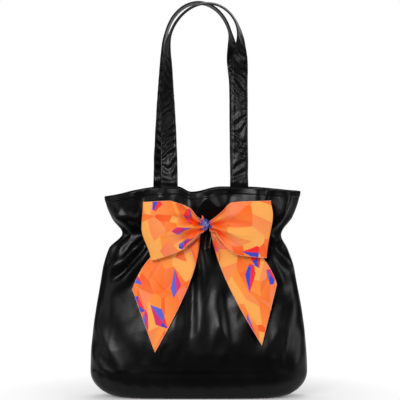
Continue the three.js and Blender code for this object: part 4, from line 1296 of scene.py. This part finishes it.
rim_lines = []
for face, side in faces_of.values():
    row = int(np.argmin(np.abs(fine_heights(face) - STITCH_HEIGHT)))
    rim_lines += stitch_lines(face[row], grid_normals(face)[row] * side)
rim_stitching = tubes("rim_stitching", rim_lines, THREAD_RADIUS, FINISHES["black_thread"])
sewn_on(rim_stitching, "black_satin")
print("rim stitches:", len(rim_lines))

# %% [markdown]
# ## Shoulder straps
# A strap is a strip of satin folded lengthwise and stitched along both edges, so it lies flat but crumples
# between its rows of stitches. Its path runs from the sewn end inside the mouth up a leg, over the crown and down
# again, turning edge-on as it climbs: slowly on the left, and only near the top on the right. Just above the rim
# the flattened end fluffs out.

# %% Straps: path and turn
STRAP, STRAP_WIDTH, STRAP_TAIL = 0.0024, 0.027, 0.029
HANDLE_DROP, ARCH_RISE, CROWN_GAP = 0.297, 0.070, 0.002
STRAP_STEP, STRAP_SOFTEN, KNEE_SHARE = 0.0018, 40, 0.78
LEG_POINTS, ARCH_POINTS = 120, 140
STRAP_SEAT = FACING / 2 + STRAP / 2 + 0.0003
LEFT_TWIST = ((0.0, 0.0), (0.3, 0.22), (0.6, 0.50), (0.85, 0.70), (1.0, 0.86), (1.12, 1.0), (1.3, 1.0))
FRONT_RIGHT_TWIST = (
    (0.78, 0.0), (0.9, 0.26), (1.0, 0.62), (1.056, 0.78), (1.11, 0.91), (1.2, 1.0), (1.3, 1.0),
)
REAR_RIGHT_TWIST = ((0.78, 0.0), (0.9, 0.29), (1.0, 0.71), (1.12, 1.0), (1.3, 1.0))
FULL_TWIST = math.radians(82)
HANDLES = {
    "front": {
        "feet": (-0.0485, 0.063), "knees": (-0.0511, 0.0622), "springs": (-0.052, 0.0644), "lean": 0.006,
        "lowered": 0.002, "side": 1, "twists": (LEFT_TWIST, FRONT_RIGHT_TWIST),
    },
    "rear": {
        "feet": (-0.0620, 0.062), "knees": (-0.0577, 0.0600), "springs": (-0.0565, 0.0512), "lean": 0.0,
        "lowered": 0.0, "side": -1, "twists": (LEFT_TWIST, REAR_RIGHT_TWIST),
    },
}


def seat_on_facing(x, grid, side):
    """A line up the inside of the mouth at a given x, as high as the facing goes."""
    rows = []
    for line in grid:
        line = line[np.argsort(line[:, 0])]
        rows.append([x, *(np.interp(x, line[:, 0], line[:, i]) for i in (1, 2))])
    rows = np.array(rows)
    rows = rows[rows[:, 2] > RIM_HEIGHT - STRAP_TAIL]
    rows[:, 1] += side * STRAP_SEAT
    return rows


def strap_path(handle, grid):
    """Middle line of a strap, and how far it has turned edge-on at each point."""
    side = handle["side"]
    spring = RIM_HEIGHT + HANDLE_DROP - handle["lowered"] - ARCH_RISE
    crown_y = -side * (STRAP_WIDTH + CROWN_GAP) / 2
    legs = []
    for foot, bent, top in zip(handle["feet"], handle["knees"], handle["springs"]):
        seat = seat_on_facing(foot, grid, side)
        share = np.linspace(0, 1, LEG_POINTS)[1:, None]
        leg = mix(seat[-1:], np.array([[top, crown_y, spring]]), share)
        leg[:, 0] = np.interp(share[:, 0], (0, KNEE_SHARE, 1), (seat[-1, 0], bent, top))
        legs.append(np.concatenate([seat, leg]))
    left, right = handle["springs"]
    turn = np.linspace(0, math.pi, ARCH_POINTS)[1:-1]
    arch_x = (left + right) / 2 - (right - left) / 2 * np.cos(turn) + handle["lean"] * np.sin(turn)
    arch = np.stack([arch_x, np.full_like(turn, crown_y), spring + ARCH_RISE * np.sin(turn)], 1)
    line = np.concatenate([legs[0], arch, legs[1][::-1]])
    reach = reach_along(line)
    at = np.linspace(0, reach[-1], int(reach[-1] / STRAP_STEP))
    line = softened(points_at(line, reach, at)[None], STRAP_SOFTEN)[0]
    climb = (line[:, 2] - RIM_HEIGHT) / (spring - RIM_HEIGHT)
    first = np.arange(len(line)) < np.argmax(line[:, 2])
    twist = FULL_TWIST * np.where(first, *[curve_through(points)(climb) for points in handle["twists"]])
    return line, twist, at


print("strap legs stand", [round(b - a, 4) for a, b in (handle["feet"] for handle in HANDLES.values())], "m apart")

# %% Straps: crumples
EDGE_STITCH = 0.0022
STRAP_CRINKLE, PUCKER, PUCKER_SLANT = 0.0009, 0.0145, 0.85
WAY_LENGTH, WAY_SHARPNESS, FREE_RUN = 0.034, 3, 0.02
WANDER, WANDER_ALONG, WANDER_ACROSS = 0.45, 0.021, 0.016
STRENGTH, STRENGTH_SWING, STRENGTH_ALONG, STRENGTH_ACROSS = 0.6, 0.4, 0.027, 0.03
FINE_CREASE, FINE_CREASE_ALONG, FINE_CREASE_ACROSS = 0.16, 0.007, 0.006
FLAT_EDGE, EDGE_RUN, EDGE_CRUMPLE = EDGE_STITCH * 0.6, 0.0045, 0.25


def strap_relief(across, along, calm, seed):
    """Crumples between the edge stitches: puckers that run on the slant, now one way and now the other."""
    way = np.tanh(WAY_SHARPNESS * soft_noise(along / WAY_LENGTH, along * 0 + 0.5, seed))
    wander = WANDER * soft_noise(along / WANDER_ALONG, across / WANDER_ACROSS, seed + 1)
    wave = np.cos(2 * math.pi * ((along + PUCKER_SLANT * way * across) / PUCKER + wander))
    swing = STRENGTH_SWING * soft_noise(along / STRENGTH_ALONG, across / STRENGTH_ACROSS, seed + 2)
    inside = smooth((STRAP_WIDTH / 2 - FLAT_EDGE - np.abs(across)) / EDGE_RUN)
    free = smooth((np.minimum(along, along[-1] - along) - STRAP_TAIL) / FREE_RUN) * calm
    fine = FINE_CREASE * creased_noise(along / FINE_CREASE_ALONG, across / FINE_CREASE_ACROSS, seed + 3)
    return STRAP_CRINKLE * (wave * (STRENGTH + swing) * mix(EDGE_CRUMPLE, 1, inside) + fine * inside) * free


print("a pucker every", PUCKER / MM, "mm")

# %% Straps: cloth and stitching
STRAP_COLUMNS = 32
STITCH_DIP, DIP_HALF_WIDTH, EDGE_ROUNDNESS, THINNEST = 0.45, 0.0008, 14, 0.02
BOTH_FACES, CROWN_CALM, CALM_FROM = 0.2, 0.15, 0.6
FOOT_PUFF, FOOT_PUFF_AT, FOOT_PUFF_SPREAD = 0.0016, 0.011, 0.006
EDGE_SWAY, EDGE_SWAY_LENGTH = 0.02, 0.02


def strap_frames(line, twist, side):
    """Directions across a strap and through its thickness."""
    ahead = unit(np.gradient(line, axis=0))
    outward = unit(np.cross(ahead, np.array([[0, 1.0, 0]])))
    wide = outward * np.cos(twist)[:, None] + np.array([[0, float(side), 0]]) * np.sin(twist)[:, None]
    wide = unit(wide - ahead * np.einsum("ij,ij->i", wide, ahead)[:, None])
    return wide, np.cross(ahead, wide)


def make_strap(name, handle, grid, seed):
    """A strap, its stitching and its length."""
    line, twist, reach = strap_path(handle, grid)
    wide, thick = strap_frames(line, twist, handle["side"])
    along = reach[:, None]
    across = np.linspace(-1, 1, STRAP_COLUMNS + 1)[None] * STRAP_WIDTH / 2
    edge = 1 + EDGE_SWAY * soft_noise(along / EDGE_SWAY_LENGTH, along * 0, seed + 5)
    dip = STITCH_DIP * bell(np.abs(across) - STRAP_WIDTH / 2 + EDGE_STITCH, DIP_HALF_WIDTH)
    rounded = np.sqrt(np.clip(1 - (np.abs(across) / (STRAP_WIDTH / 2)) ** EDGE_ROUNDNESS, THINNEST, 1))
    half = STRAP / 2 * (1 - dip) * rounded
    calm = mix(1, CROWN_CALM, smooth((twist / FULL_TWIST - CALM_FROM) / (1 - CALM_FROM)))[:, None]
    above_rim = np.abs(line[:, 2] - RIM_HEIGHT - FOOT_PUFF_AT)[:, None]
    puff = FOOT_PUFF * bell(above_rim, FOOT_PUFF_SPREAD) * np.sign(-thick[:, 1:2])
    sway = strap_relief(across, along, calm, seed) + puff
    faces = []
    for sign, face_seed in ((1, seed + 10), (-1, seed + 17)):
        height = sign * half + sway + sign * BOTH_FACES * strap_relief(across, along, calm, face_seed)
        faces.append(line[:, None] + wide[:, None] * (across * edge)[..., None] + thick[:, None] * height[..., None])
    strap = sheet_between(name, *faces, flat_of(across, along, seed), FINISHES["black_satin"])
    column = round(EDGE_STITCH / STRAP_WIDTH * STRAP_COLUMNS)
    lines = []
    for at in (column, STRAP_COLUMNS - column):
        for sign, face in zip((1, -1), faces):
            lines += stitch_lines(face[:, at], thick * sign)
    return strap, tubes(name + "_stitching", lines, THREAD_RADIUS, FINISHES["black_thread"]), float(reach[-1])


for label, where, seed in (("front", "front", 61), ("rear", "back", 83)):
    handle, body = HANDLES[label], f"{label}_handle"
    strap, stitching, length = make_strap(f"{label}_strap", handle, facing_grids[where], seed)
    for piece in (strap, stitching):
        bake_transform(piece)
    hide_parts(body, f"{label}_left_strap_end", f"{label}_right_strap_end")
    print(label, "strap is", round(length, 3), "m long")

# %% [markdown]
# ## The bow's loops
# A loop is one run of ribbon: out from the knot in front, round a fold and back behind. The ribbon keeps its
# width everywhere, so where the loop narrows to the knot the spare width has to stand up in pleats. That is how
# the pleats are made: their depth follows from the spare width, and they die away where the loop is full. Next to
# the knot the loop is pinched into a hollow, and its lower edge rolls up over it as a lip. The root slants away
# from its neighbour, so that both loops can swing forward together.

# %% Loops: outline
LOOPS = {
    -1: {
        "top": (
            (0.000, 0.006), (0.0152, 0.0136), (0.028, 0.028), (0.045, 0.0355), (0.062, 0.0402), (0.104, 0.0380),
        ),
        "bottom": (
            (0.000, -0.005), (0.0152, -0.0168), (0.028, -0.027), (0.044, -0.036), (0.071, -0.0456), (0.104, -0.054),
        ),
        "reach": ((-1.0, 0.0895), (0.1, 0.1040), (1.0, 0.1016)),
        "start": 0.0050, "wall": 0.25, "lip_end": 0.26,
    },
    1: {
        "top": (
            (0.000, 0.006), (0.0100, 0.0120), (0.023, 0.0225), (0.039, 0.0372), (0.063, 0.0394), (0.104, 0.0400),
        ),
        "bottom": (
            (0.000, -0.006), (0.0100, -0.0120), (0.033, -0.0330), (0.052, -0.0440), (0.075, -0.0475), (0.104, -0.050),
        ),
        "reach": ((-1.0, 0.0936), (-0.4, 0.0968), (0.5, 0.1032), (1.0, 0.1000)),
        "start": 0.0028, "wall": 0.14, "lip_end": 0.16,
    },
}
LOOP_LENGTH, LOOP_ROOT, LOOP_STANDOFF, LOOP_RISE = 0.104, 0.0005, 0.0062, 0.22


def loop_point(side, out, v, forward):
    """A place on a loop: out is 0 at the knot and 1 at the fold, v runs from the lower edge to the upper."""
    edges = LOOPS[side]
    far = mix(edges["start"], LOOP_LENGTH, out)
    top, bottom = curve_through(edges["top"])(far), curve_through(edges["bottom"])(far)
    x = mix(edges["start"], curve_through(edges["reach"])(v), out)
    z = mix(bottom, top, (v + 1) / 2)
    y = mix(LOOP_ROOT, -LOOP_STANDOFF, smooth(out / LOOP_RISE)) - forward
    return np.stack(np.broadcast_arrays(side * x, y, z), -1) + KNOT, top - bottom


print("loop width at the fold:", loop_point(1, 1.0, 0.0, 0.0)[1].round(4))

# %% Loops: puff and pleats
LOOP_PUFF, LOOP_FOLD, PUFF_LEAN, PUFF_ROUND, PUFF_AT_ROOT = 0.0150, 0.0026, 0.8, 0.35, 0.2
WALL_RISE, WALL_BOW, PINCH_FROM, PINCH_RUN = 0.20, 0.05, 0.02, 0.08
PLEATS, PLEAT_LIMIT, PLEAT_FADE = 2.0, 0.0062, (0.25, 0.6)
PLEAT_WARP, WARP_TURN, WARP_START, PLEAT_START, PLEAT_DRIFT = 0.18, 2.2, 0.6, 0.9, 1.2
PAINTED_SHADE_MIDDLE, PAINTED_SHADE_SWING, PAINTED_SHADE_AT_EDGE = 0.55, 0.45, 0.6
LOOP_CREASE, LOOP_CREASES, CREASE_START, CREASE_FADE = 0.0011, (5.5, 2.2), 0.06, 1.2
LOOP_RIPPLE, LOOP_RIPPLES, RIPPLE_END = 0.0013, (1.8, 3.0), 0.12
BACK_PLEATS, BACK_PLEAT_SHARE, BACK_PLEAT_LIMIT, BACK_PLEAT_FADE = 3.0, 0.45, -0.0012, (0.1, 0.6)
BACK_SHARE, BACK_FROM, BACK_ROWS, BACK_PLEAT_START = 0.97, 0.96, 60, 0.5


def pleat_depth(width, count):
    """Depth of pleats that take up a ribbon's spare width."""
    spare = np.sqrt(np.maximum(RIBBON_WIDTH / np.maximum(width, 1e-4) - 1, 0))
    return np.minimum(width / count / math.pi * spare, PLEAT_LIMIT)


def off_knot(out):
    """0 under the knot and 1 a little way out."""
    return smooth((out - PINCH_FROM) / PINCH_RUN)


def loop_front(side, out, v, seed):
    """How far the front run stands forward, puffed and pleated towards the knot, and how much painted shade its folds
    get.
    """
    wall = LOOPS[side]["wall"]
    _, width = loop_point(side, out, v, 0.0)
    puff = LOOP_PUFF * np.sin(math.pi * np.clip(out, 0, 1) ** PUFF_LEAN) * (1 - PUFF_ROUND * v * v)
    puff = puff * mix(PUFF_AT_ROOT, 1, smooth((out - wall - WALL_BOW * v * v) / WALL_RISE))
    warped = (v + PLEAT_WARP * np.sin(WARP_TURN * v + WARP_START * side)) * 0.5 + 0.5
    ridge = np.cos(2 * math.pi * PLEATS * warped + PLEAT_START + PLEAT_DRIFT * out)
    pleat = pleat_depth(width, PLEATS) * ridge * fade_out(out, *PLEAT_FADE)
    # Painted shade: darkest in the pleats' valleys and in the hollow by the knot, fading out past the wall.
    deep = (PAINTED_SHADE_MIDDLE - PAINTED_SHADE_SWING * ridge) * off_knot(out) * fade_out(out, wall, WALL_RISE)
    crease = LOOP_CREASE * creased_noise(v * LOOP_CREASES[0] + 20, out * LOOP_CREASES[1], seed)
    crease = crease * smooth(out / CREASE_START) * (1 - out) ** CREASE_FADE
    soft = LOOP_RIPPLE * soft_noise(v * LOOP_RIPPLES[0] + 9, out * LOOP_RIPPLES[1], seed + 1)
    soft = soft * smooth((1 - out) / RIPPLE_END)
    return 2 * LOOP_FOLD + puff + pleat + crease + soft, deep * (1 - PAINTED_SHADE_AT_EDGE * v**4)


def loop_back(side, v):
    """The run behind, flatter and with smaller pleats, from the fold back to the knot."""
    out = np.linspace(BACK_FROM, 0, BACK_ROWS)[:, None]
    _, width = loop_point(side, out, v, 0.0)
    pleat = BACK_PLEAT_SHARE * pleat_depth(width, BACK_PLEATS) * np.cos(BACK_PLEATS * math.pi * v + BACK_PLEAT_START)
    pleat = pleat * fade_out(out, *BACK_PLEAT_FADE)
    return loop_point(side, out, v * BACK_SHARE, np.maximum(pleat, BACK_PLEAT_LIMIT))[0]


print("deepest pleat:", round(PLEAT_LIMIT / MM, 1), "mm")

# %% Loops
LOOP_COLUMNS, FOLD_ROWS = 80, 11
LOOP_OUT = np.concatenate([np.linspace(0, 0.3, 44), np.linspace(0.31, 0.97, 50)])[:, None]
LOOP_SWING, ROOT_GAP = math.radians(30), 0.0012
LIP_FROM, LIP_FADE, LIP_ROLL = 0.70, 0.16, np.array([0, -0.0050, 0.0055])
FOLD_TURN = (0.08 * math.pi, 0.92 * math.pi)
EDGE_RADIUS = 0.0004
SIDES = {-1: "left", 1: "right"}


def mark_painted_shade(piece, values):
    """Tells a sheet's material how much painted shade each point of the grid gets."""
    depth = piece.data.attributes.new("deep", "FLOAT", "POINT")
    depth.data.foreach_set("value", np.tile(np.asarray(values, np.float32).ravel(), 2))


def make_loop(name, side, seed):
    """A loop, its pale edging and the length of ribbon that it takes."""
    v = np.linspace(-1, 1, LOOP_COLUMNS + 1)[None]
    out = LOOP_OUT
    forward, deep = loop_front(side, out, v, seed)
    lip = smooth((-v - LIP_FROM) / (1 - LIP_FROM)) * off_knot(out) * fade_out(out, LOOPS[side]["lip_end"], LIP_FADE)
    front = loop_point(side, out, v, forward)[0] + lip[..., None] * LIP_ROLL
    turn = np.linspace(*FOLD_TURN, FOLD_ROWS)[:, None]
    fold, _ = loop_point(side, 1.0, v, LOOP_FOLD * (1 + np.cos(turn)))
    fold[..., 0] -= side * LOOP_FOLD * (1 - np.sin(turn))
    grid = np.concatenate([front, fold, loop_back(side, v)])
    room = (side * (grid[..., 0] - KNOT[0]) - ROOT_GAP) / math.tan(LOOP_SWING)
    grid[..., 1] = np.maximum(grid[..., 1], KNOT[1] - room)
    middle = LOOP_COLUMNS // 2
    along = lengths_along(grid, 0)[:, middle : middle + 1]
    flat = flat_of(v * RIBBON_WIDTH / 2, along, WEAR_AT["loop"] + side)
    loop = cloth_sheet(name, grid, RIBBON, flat, FINISHES["printed_ribbon"])
    # The front run gets painted fold shade, less where the lip rolls up; the fold and the back run get none.
    shade = np.zeros(grid.shape[:2])
    shade[: len(front)] = deep * (1 - lip)
    mark_painted_shade(loop, shade)
    edging = tubes(name + "_edging", [grid[:, 0], grid[:, -1]], EDGE_RADIUS, FINISHES["pale_edge"])
    return loop, edging, float(along[-1, 0])


def on_body(piece, edging, body, cad_node):
    """Says that a ribbon and its edging move together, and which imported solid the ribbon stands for."""
    for part in (piece, edging):
        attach(part, body)
    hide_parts(cad_node)


for side, label in SIDES.items():
    loop, edging, length = make_loop(f"bow_{label}_ribbon_loop", side, 100 + side)
    on_body(loop, edging, f"{label}_loop", f"bow_{label}_loop")
    cut = (RIBBON_WIDTH, round(length, 3))
    print(label, "loop takes", cut[1], "m of ribbon")

# %% [markdown]
# ## The bow's tails
# Each tail leaves the knot pleated, opens to the ribbon's full width and hangs over the front of the bag to a
# slanting cut. The two inner edges stand apart below the knot, and each turns over there, as a soft ribbon does,
# and shows as a narrow flap. A tail that swings aside slides behind the loop, so it lies back far enough there.

# %% Tails: outline
TAILS = {
    -1: {
        "tip": (0.083, -0.200), "corner": (0.119, -0.101), "flap": 0.017,
        "inner": ((0.0118, -0.0085), (0.0105, -0.0560)),
    },
    1: {
        "tip": (0.086, -0.189), "corner": (0.110, -0.093), "flap": 0.005,
        "inner": ((0.0050, -0.0085), (0.0130, -0.0550)),
    },
}
TAIL_INNER_SHARE = (0.36, 0.53)
TAIL_OUTER_SHARES = ((0.59, 0.20), (0.88, 0.55))
TAIL_ROOT, ROOT_ANGLE = 0.0080, math.radians(-28)
TAIL_ALONG = np.linspace(0, 1, 121)[:, None]


def bezier(a, b, c, d):
    """Points of an edge from its two ends and two handles."""
    a, b, c, d = np.array([a, b, c, d])
    t = TAIL_ALONG
    return a * (1 - t) ** 3 + 3 * b * t * (1 - t) ** 2 + 3 * c * t**2 * (1 - t) + d * t**3


def tail_outline(side):
    """Inner and outer edge of a tail, from the knot to its slanting cut."""
    tail = TAILS[side]
    tip, corner = np.array(tail["tip"]), np.array(tail["corner"])
    root = TAIL_ROOT * np.array([math.cos(ROOT_ANGLE), math.sin(ROOT_ANGLE)])
    inner = bezier(*tail["inner"], TAIL_INNER_SHARE * tip, tip)
    outer = bezier(root, TAIL_OUTER_SHARES[0] * corner, TAIL_OUTER_SHARES[1] * corner, corner)
    return inner, outer


print("tail tips hang", [-tail["tip"][1] for tail in TAILS.values()], "below the knot")

# %% Tails: folds and pleats
TAIL_FOLD, TAIL_LEAVES, TAIL_STARTS = 0.0025, 0.3, 0.05
TAIL_PLEATS, TAIL_PLEAT_SHARE, TAIL_PLEAT_START, TAIL_PLEAT_FADE = 2.0, 0.5, 2.4, (0.12, 0.5)
TAIL_RIPPLE, TAIL_RIPPLES, TAIL_CREASE, TAIL_CREASES = 0.0014, (2.4, 4.0), 0.0009, (5, 2.0)
TAIL_SHADE_FADE, TAIL_CREASE_FADE = (0.14, 0.28), (0.2, 0.5)


def tail_relief(side, across, width, seed):
    """How far a tail's folds, pleats and ripples stand forward, and how much painted shade the pleats' valleys get.
    """
    t = TAIL_ALONG
    near = smooth(t / TAIL_LEAVES)
    fold = TAIL_FOLD * (0.5 - 0.5 * np.cos(2 * math.pi * across))
    ridge = np.cos(2 * math.pi * TAIL_PLEATS * across + TAIL_PLEAT_START * side)
    pleat = TAIL_PLEAT_SHARE * pleat_depth(width, TAIL_PLEATS) * ridge * fade_out(t, *TAIL_PLEAT_FADE)
    # Painted shade in the pleats' valleys near the knot.
    deep = (0.5 - 0.5 * ridge) * fade_out(t, *TAIL_SHADE_FADE)
    ripple = TAIL_RIPPLE * soft_noise(across * TAIL_RIPPLES[0] + 7, t * TAIL_RIPPLES[1] + across, seed) * near
    crease = TAIL_CREASE * creased_noise(across * TAIL_CREASES[0] + 3, t * TAIL_CREASES[1], seed + 1)
    crease = crease * fade_out(t, *TAIL_CREASE_FADE)
    forward = np.maximum(fold * near + pleat + np.abs(ripple) + np.maximum(crease, 0), 0.0)
    return forward * smooth(t / TAIL_STARTS), deep, near


print("folds stand forward by up to", TAIL_FOLD / MM, "mm")

# %% Tails
TAIL_SETBACK, TAIL_CLEARANCE, TAIL_SLACK, FLAT_TAIL = 0.0046, 0.0045, 0.0006, 0.0005
TAIL_COLUMNS, FLAP_COLUMNS, MIDDLE_COLUMN, FLAP_LIMIT = 60, 12, 40, 0.9
FLAP_FROM, FLAP_TO, FLAP_HEM, FLAP_LIFT, FLAP_ROLL = 0.06, 0.36, 0.0007, 0.0016, 0.0009
FLAP_SHADE, SHADED_FLAP, FLAP_TAPER = 0.75, 0.006, 1.5
LOOP_REACH, SWING_ROOM, PAST_LOOP = 0.114, 0.0049, 0.02
SLOPE_FROM, SLOPE_RUN = 0.005, 0.030


def make_tail(name, side, seed):
    """A tail, its pale edging, its length and its area."""
    inner, outer = tail_outline(side)
    width = np.linalg.norm(outer - inner, axis=1, keepdims=True)
    share = np.broadcast_to(np.linspace(0, 1, TAIL_COLUMNS + 1), (len(TAIL_ALONG), TAIL_COLUMNS + 1))
    flap = np.linspace(1, 0, FLAP_COLUMNS + 1)[None, :-1]
    swell = np.sin(math.pi * np.clip((TAIL_ALONG - FLAP_FROM) / (FLAP_TO - FLAP_FROM), 0, 1)) ** FLAP_TAPER
    flap_width = FLAP_HEM + TAILS[side]["flap"] * swell
    turned = np.minimum(flap * flap_width / width, FLAP_LIMIT)
    across = np.concatenate([turned, share], 1)
    raised = np.minimum(flap * flap_width, FLAP_LIFT) + FLAP_ROLL * np.sqrt(flap)
    lifted = np.concatenate([raised, 0 * share], 1)
    spread = inner[:, None] + (outer - inner)[:, None] * across[..., None]
    x, z = KNOT[0] + side * spread[..., 0], KNOT[2] + spread[..., 1]
    forward, deep, near = tail_relief(side, across, width, seed)
    on_bag = face_y(x, z) - GATHER_ROOM * bell(z - NECK_HEIGHT, ROOM_SPREAD) - TAIL_CLEARANCE
    y = mix(KNOT[1] + TAIL_SETBACK, on_bag, near) - forward
    reach = np.hypot(x - KNOT[0], z - KNOT[2])
    under_loop = KNOT[1] + mix(LOOP_ROOT, -LOOP_STANDOFF, smooth((reach - SLOPE_FROM) / SLOPE_RUN)) + SWING_ROOM
    under_loop = under_loop - PAST_LOOP * smooth((reach - LOOP_REACH) / PAST_LOOP)
    y = np.maximum(y, np.minimum(under_loop, on_bag + TAIL_SLACK)) - lifted
    grid = np.stack([x, y, z], -1)
    along = lengths_along(grid, 0)[:, MIDDLE_COLUMN : MIDDLE_COLUMN + 1]
    flat = flat_of(np.concatenate([-turned, share], 1) * width, along, WEAR_AT["tail"] + side)
    piece = cloth_sheet(name, grid, RIBBON, flat, FINISHES["printed_ribbon"])
    # Painted shade: in the pleats' valleys, and on the turned-over flap where it is wide.
    mark_painted_shade(piece, np.where(lifted < FLAT_TAIL, deep, FLAP_SHADE * smooth(flap_width / SHADED_FLAP)))
    edge_lines = [grid[:, 0], np.concatenate([grid[:, -1], grid[-1, ::-1]])]
    edging = tubes(name + "_edging", edge_lines, EDGE_RADIUS, FINISHES["pale_edge"])
    step = np.linalg.norm(np.diff(grid, axis=0), axis=2).mean(1)
    area = float((np.linalg.norm(np.diff(grid, axis=1), axis=2).sum(1)[1:] * step).sum())
    return piece, edging, float(along[-1, 0]), area


for side, label in SIDES.items():
    tail, edging, length, area = make_tail(f"bow_{label}_ribbon_tail", side, 120 + side)
    on_body(tail, edging, f"{label}_tail", f"bow_{label}_tail")
    print(label, "tail is", round(length, 3), "m long and", round(area, 4), "square metres")

# %% [markdown]
# ## The knot
# The knot is the ribbon wrapped once, tightly, round the middle of the bow. It is a short barrel whose wrap lies
# in creases that run round it on the slant, with edges that roll in under the loops. A crumpled end of ribbon is
# caught under the wrap and peeps out above it.

# %% Knot: the wrap
KNOT_HALF_WIDTH, KNOT_DEEP, KNOT_TALL = 0.0078, 0.0086, 0.0104
KNOT_SLANT = math.radians(24)
KNOT_ASIDE = np.array([-0.0050, 0, 0.0012])
KNOT_POINTS, KNOT_ROWS = 96, 41
BARREL_ROUND, BARREL_EDGE = 0.45, 0.42
WRAP_CREASE, WRAP_CREASES, WRAP_SLANT, WRAP_SINK, WRAP_SWAY = 0.0011, 2.6, 0.5, 0.3, 0.0006
WRAP_WIDTH, WRAP_RADIUS = 0.02, 0.0095


def make_knot():
    """The wrap: a slanted barrel, closed at both ends."""
    turn = np.linspace(0, 2 * math.pi, KNOT_POINTS + 1)[:-1]
    w = np.linspace(-1, 1, KNOT_ROWS)[:, None]
    barrel = np.sqrt(np.clip(1 - BARREL_ROUND * w**2 - BARREL_EDGE * w**8, THINNEST, 1))
    crease = creased_noise(w * WRAP_CREASES + WRAP_SLANT * np.sin(turn) + 9, 2 * np.cos(turn) + 9, 140)
    crease = WRAP_CREASE * (crease - WRAP_SINK) * (1 - w**4)
    x = w * KNOT_HALF_WIDTH + WRAP_SWAY * soft_noise(w * 2 + 5, turn, 141)
    y = np.cos(turn) * (KNOT_DEEP * barrel + crease)
    z = np.sin(turn) * (KNOT_TALL * barrel + crease)
    c, s = math.cos(KNOT_SLANT), math.sin(KNOT_SLANT)
    grid = np.stack([x * c + z * s, y, z * c - x * s], -1) + KNOT + KNOT_ASIDE
    half = np.arange(KNOT_POINTS // 2 - 1)
    corners = np.stack([half, half + 1, KNOT_POINTS - 2 - half, KNOT_POINTS - 1 - half], -1)
    last = (KNOT_ROWS - 1) * KNOT_POINTS
    faces = np.concatenate([quads(KNOT_ROWS, KNOT_POINTS, wrap=True), corners[:, ::-1], corners + last])
    flat = flat_of(w * WRAP_WIDTH, turn[None] * WRAP_RADIUS, WEAR_AT["wrap"]).reshape(-1, 3)
    return new_piece("bow_knot_wrap", grid, faces, flat, FINISHES["ribbon_knot"])


print("wrap points:", KNOT_ROWS * KNOT_POINTS)

# %% Knot: the tucked end
TUCK_LOW, TUCK_HIGH = np.array([-0.0096, -0.0010, -0.0112]), np.array([-0.0072, -0.0030, 0.0168])
TUCK_HALF_WIDTH, TUCK_SWAY, TUCK_CREASE, TUCK_BULGE = 0.0026, 0.0016, 0.0011, 0.0012
TUCK_NARROWS, TUCK_POINT, TUCK_TAPER, TUCK_SHADE = 0.74, 0.88, 0.7, 0.35
TUCK_SWAYS, TUCK_CREASES = (9, 1.2), (1.6, 3.0)
TUCK_ROWS, TUCK_COLUMNS = 31, 13


def make_tuck():
    """A crumpled end of ribbon under the wrap."""
    up = np.linspace(0, 1, TUCK_ROWS)[:, None]
    w = np.linspace(-1, 1, TUCK_COLUMNS)[None]
    narrow = TUCK_HALF_WIDTH * (1 - TUCK_POINT * smooth((up - TUCK_NARROWS) / (1 - TUCK_NARROWS)) ** TUCK_TAPER)
    x = narrow * w + TUCK_SWAY * soft_noise(up * TUCK_SWAYS[0] + 3, w * TUCK_SWAYS[1] + 3, 151)
    crease = TUCK_CREASE * creased_noise(w * TUCK_CREASES[0] + 5, up * TUCK_CREASES[1] + 2, 152)
    y = crease - TUCK_BULGE * np.sin(math.pi * up)
    grid = mix(TUCK_LOW, TUCK_HIGH, up[..., None]) + np.stack([x, y, 0 * x], -1) + KNOT
    middle = TUCK_COLUMNS // 2
    along = lengths_along(grid, 0)[:, middle : middle + 1]
    flat = flat_of(w * TUCK_HALF_WIDTH, along, WEAR_AT["tuck"])
    piece = cloth_sheet("bow_knot_tuck", grid, RIBBON, flat, FINISHES["printed_ribbon"])
    # Painted shade on the tucked end under the wrap, stronger in random patches.
    mark_painted_shade(piece, TUCK_SHADE + TUCK_SHADE * soft_noise(up * 7, w * 2 + 4, 153))
    return piece


knot, tuck = make_knot(), make_tuck()
sewn_on(tuck, "printed_ribbon")
sewn_on(knot, "ribbon_knot", "bow_knot")
print("knot faces:", len(knot.data.polygons))
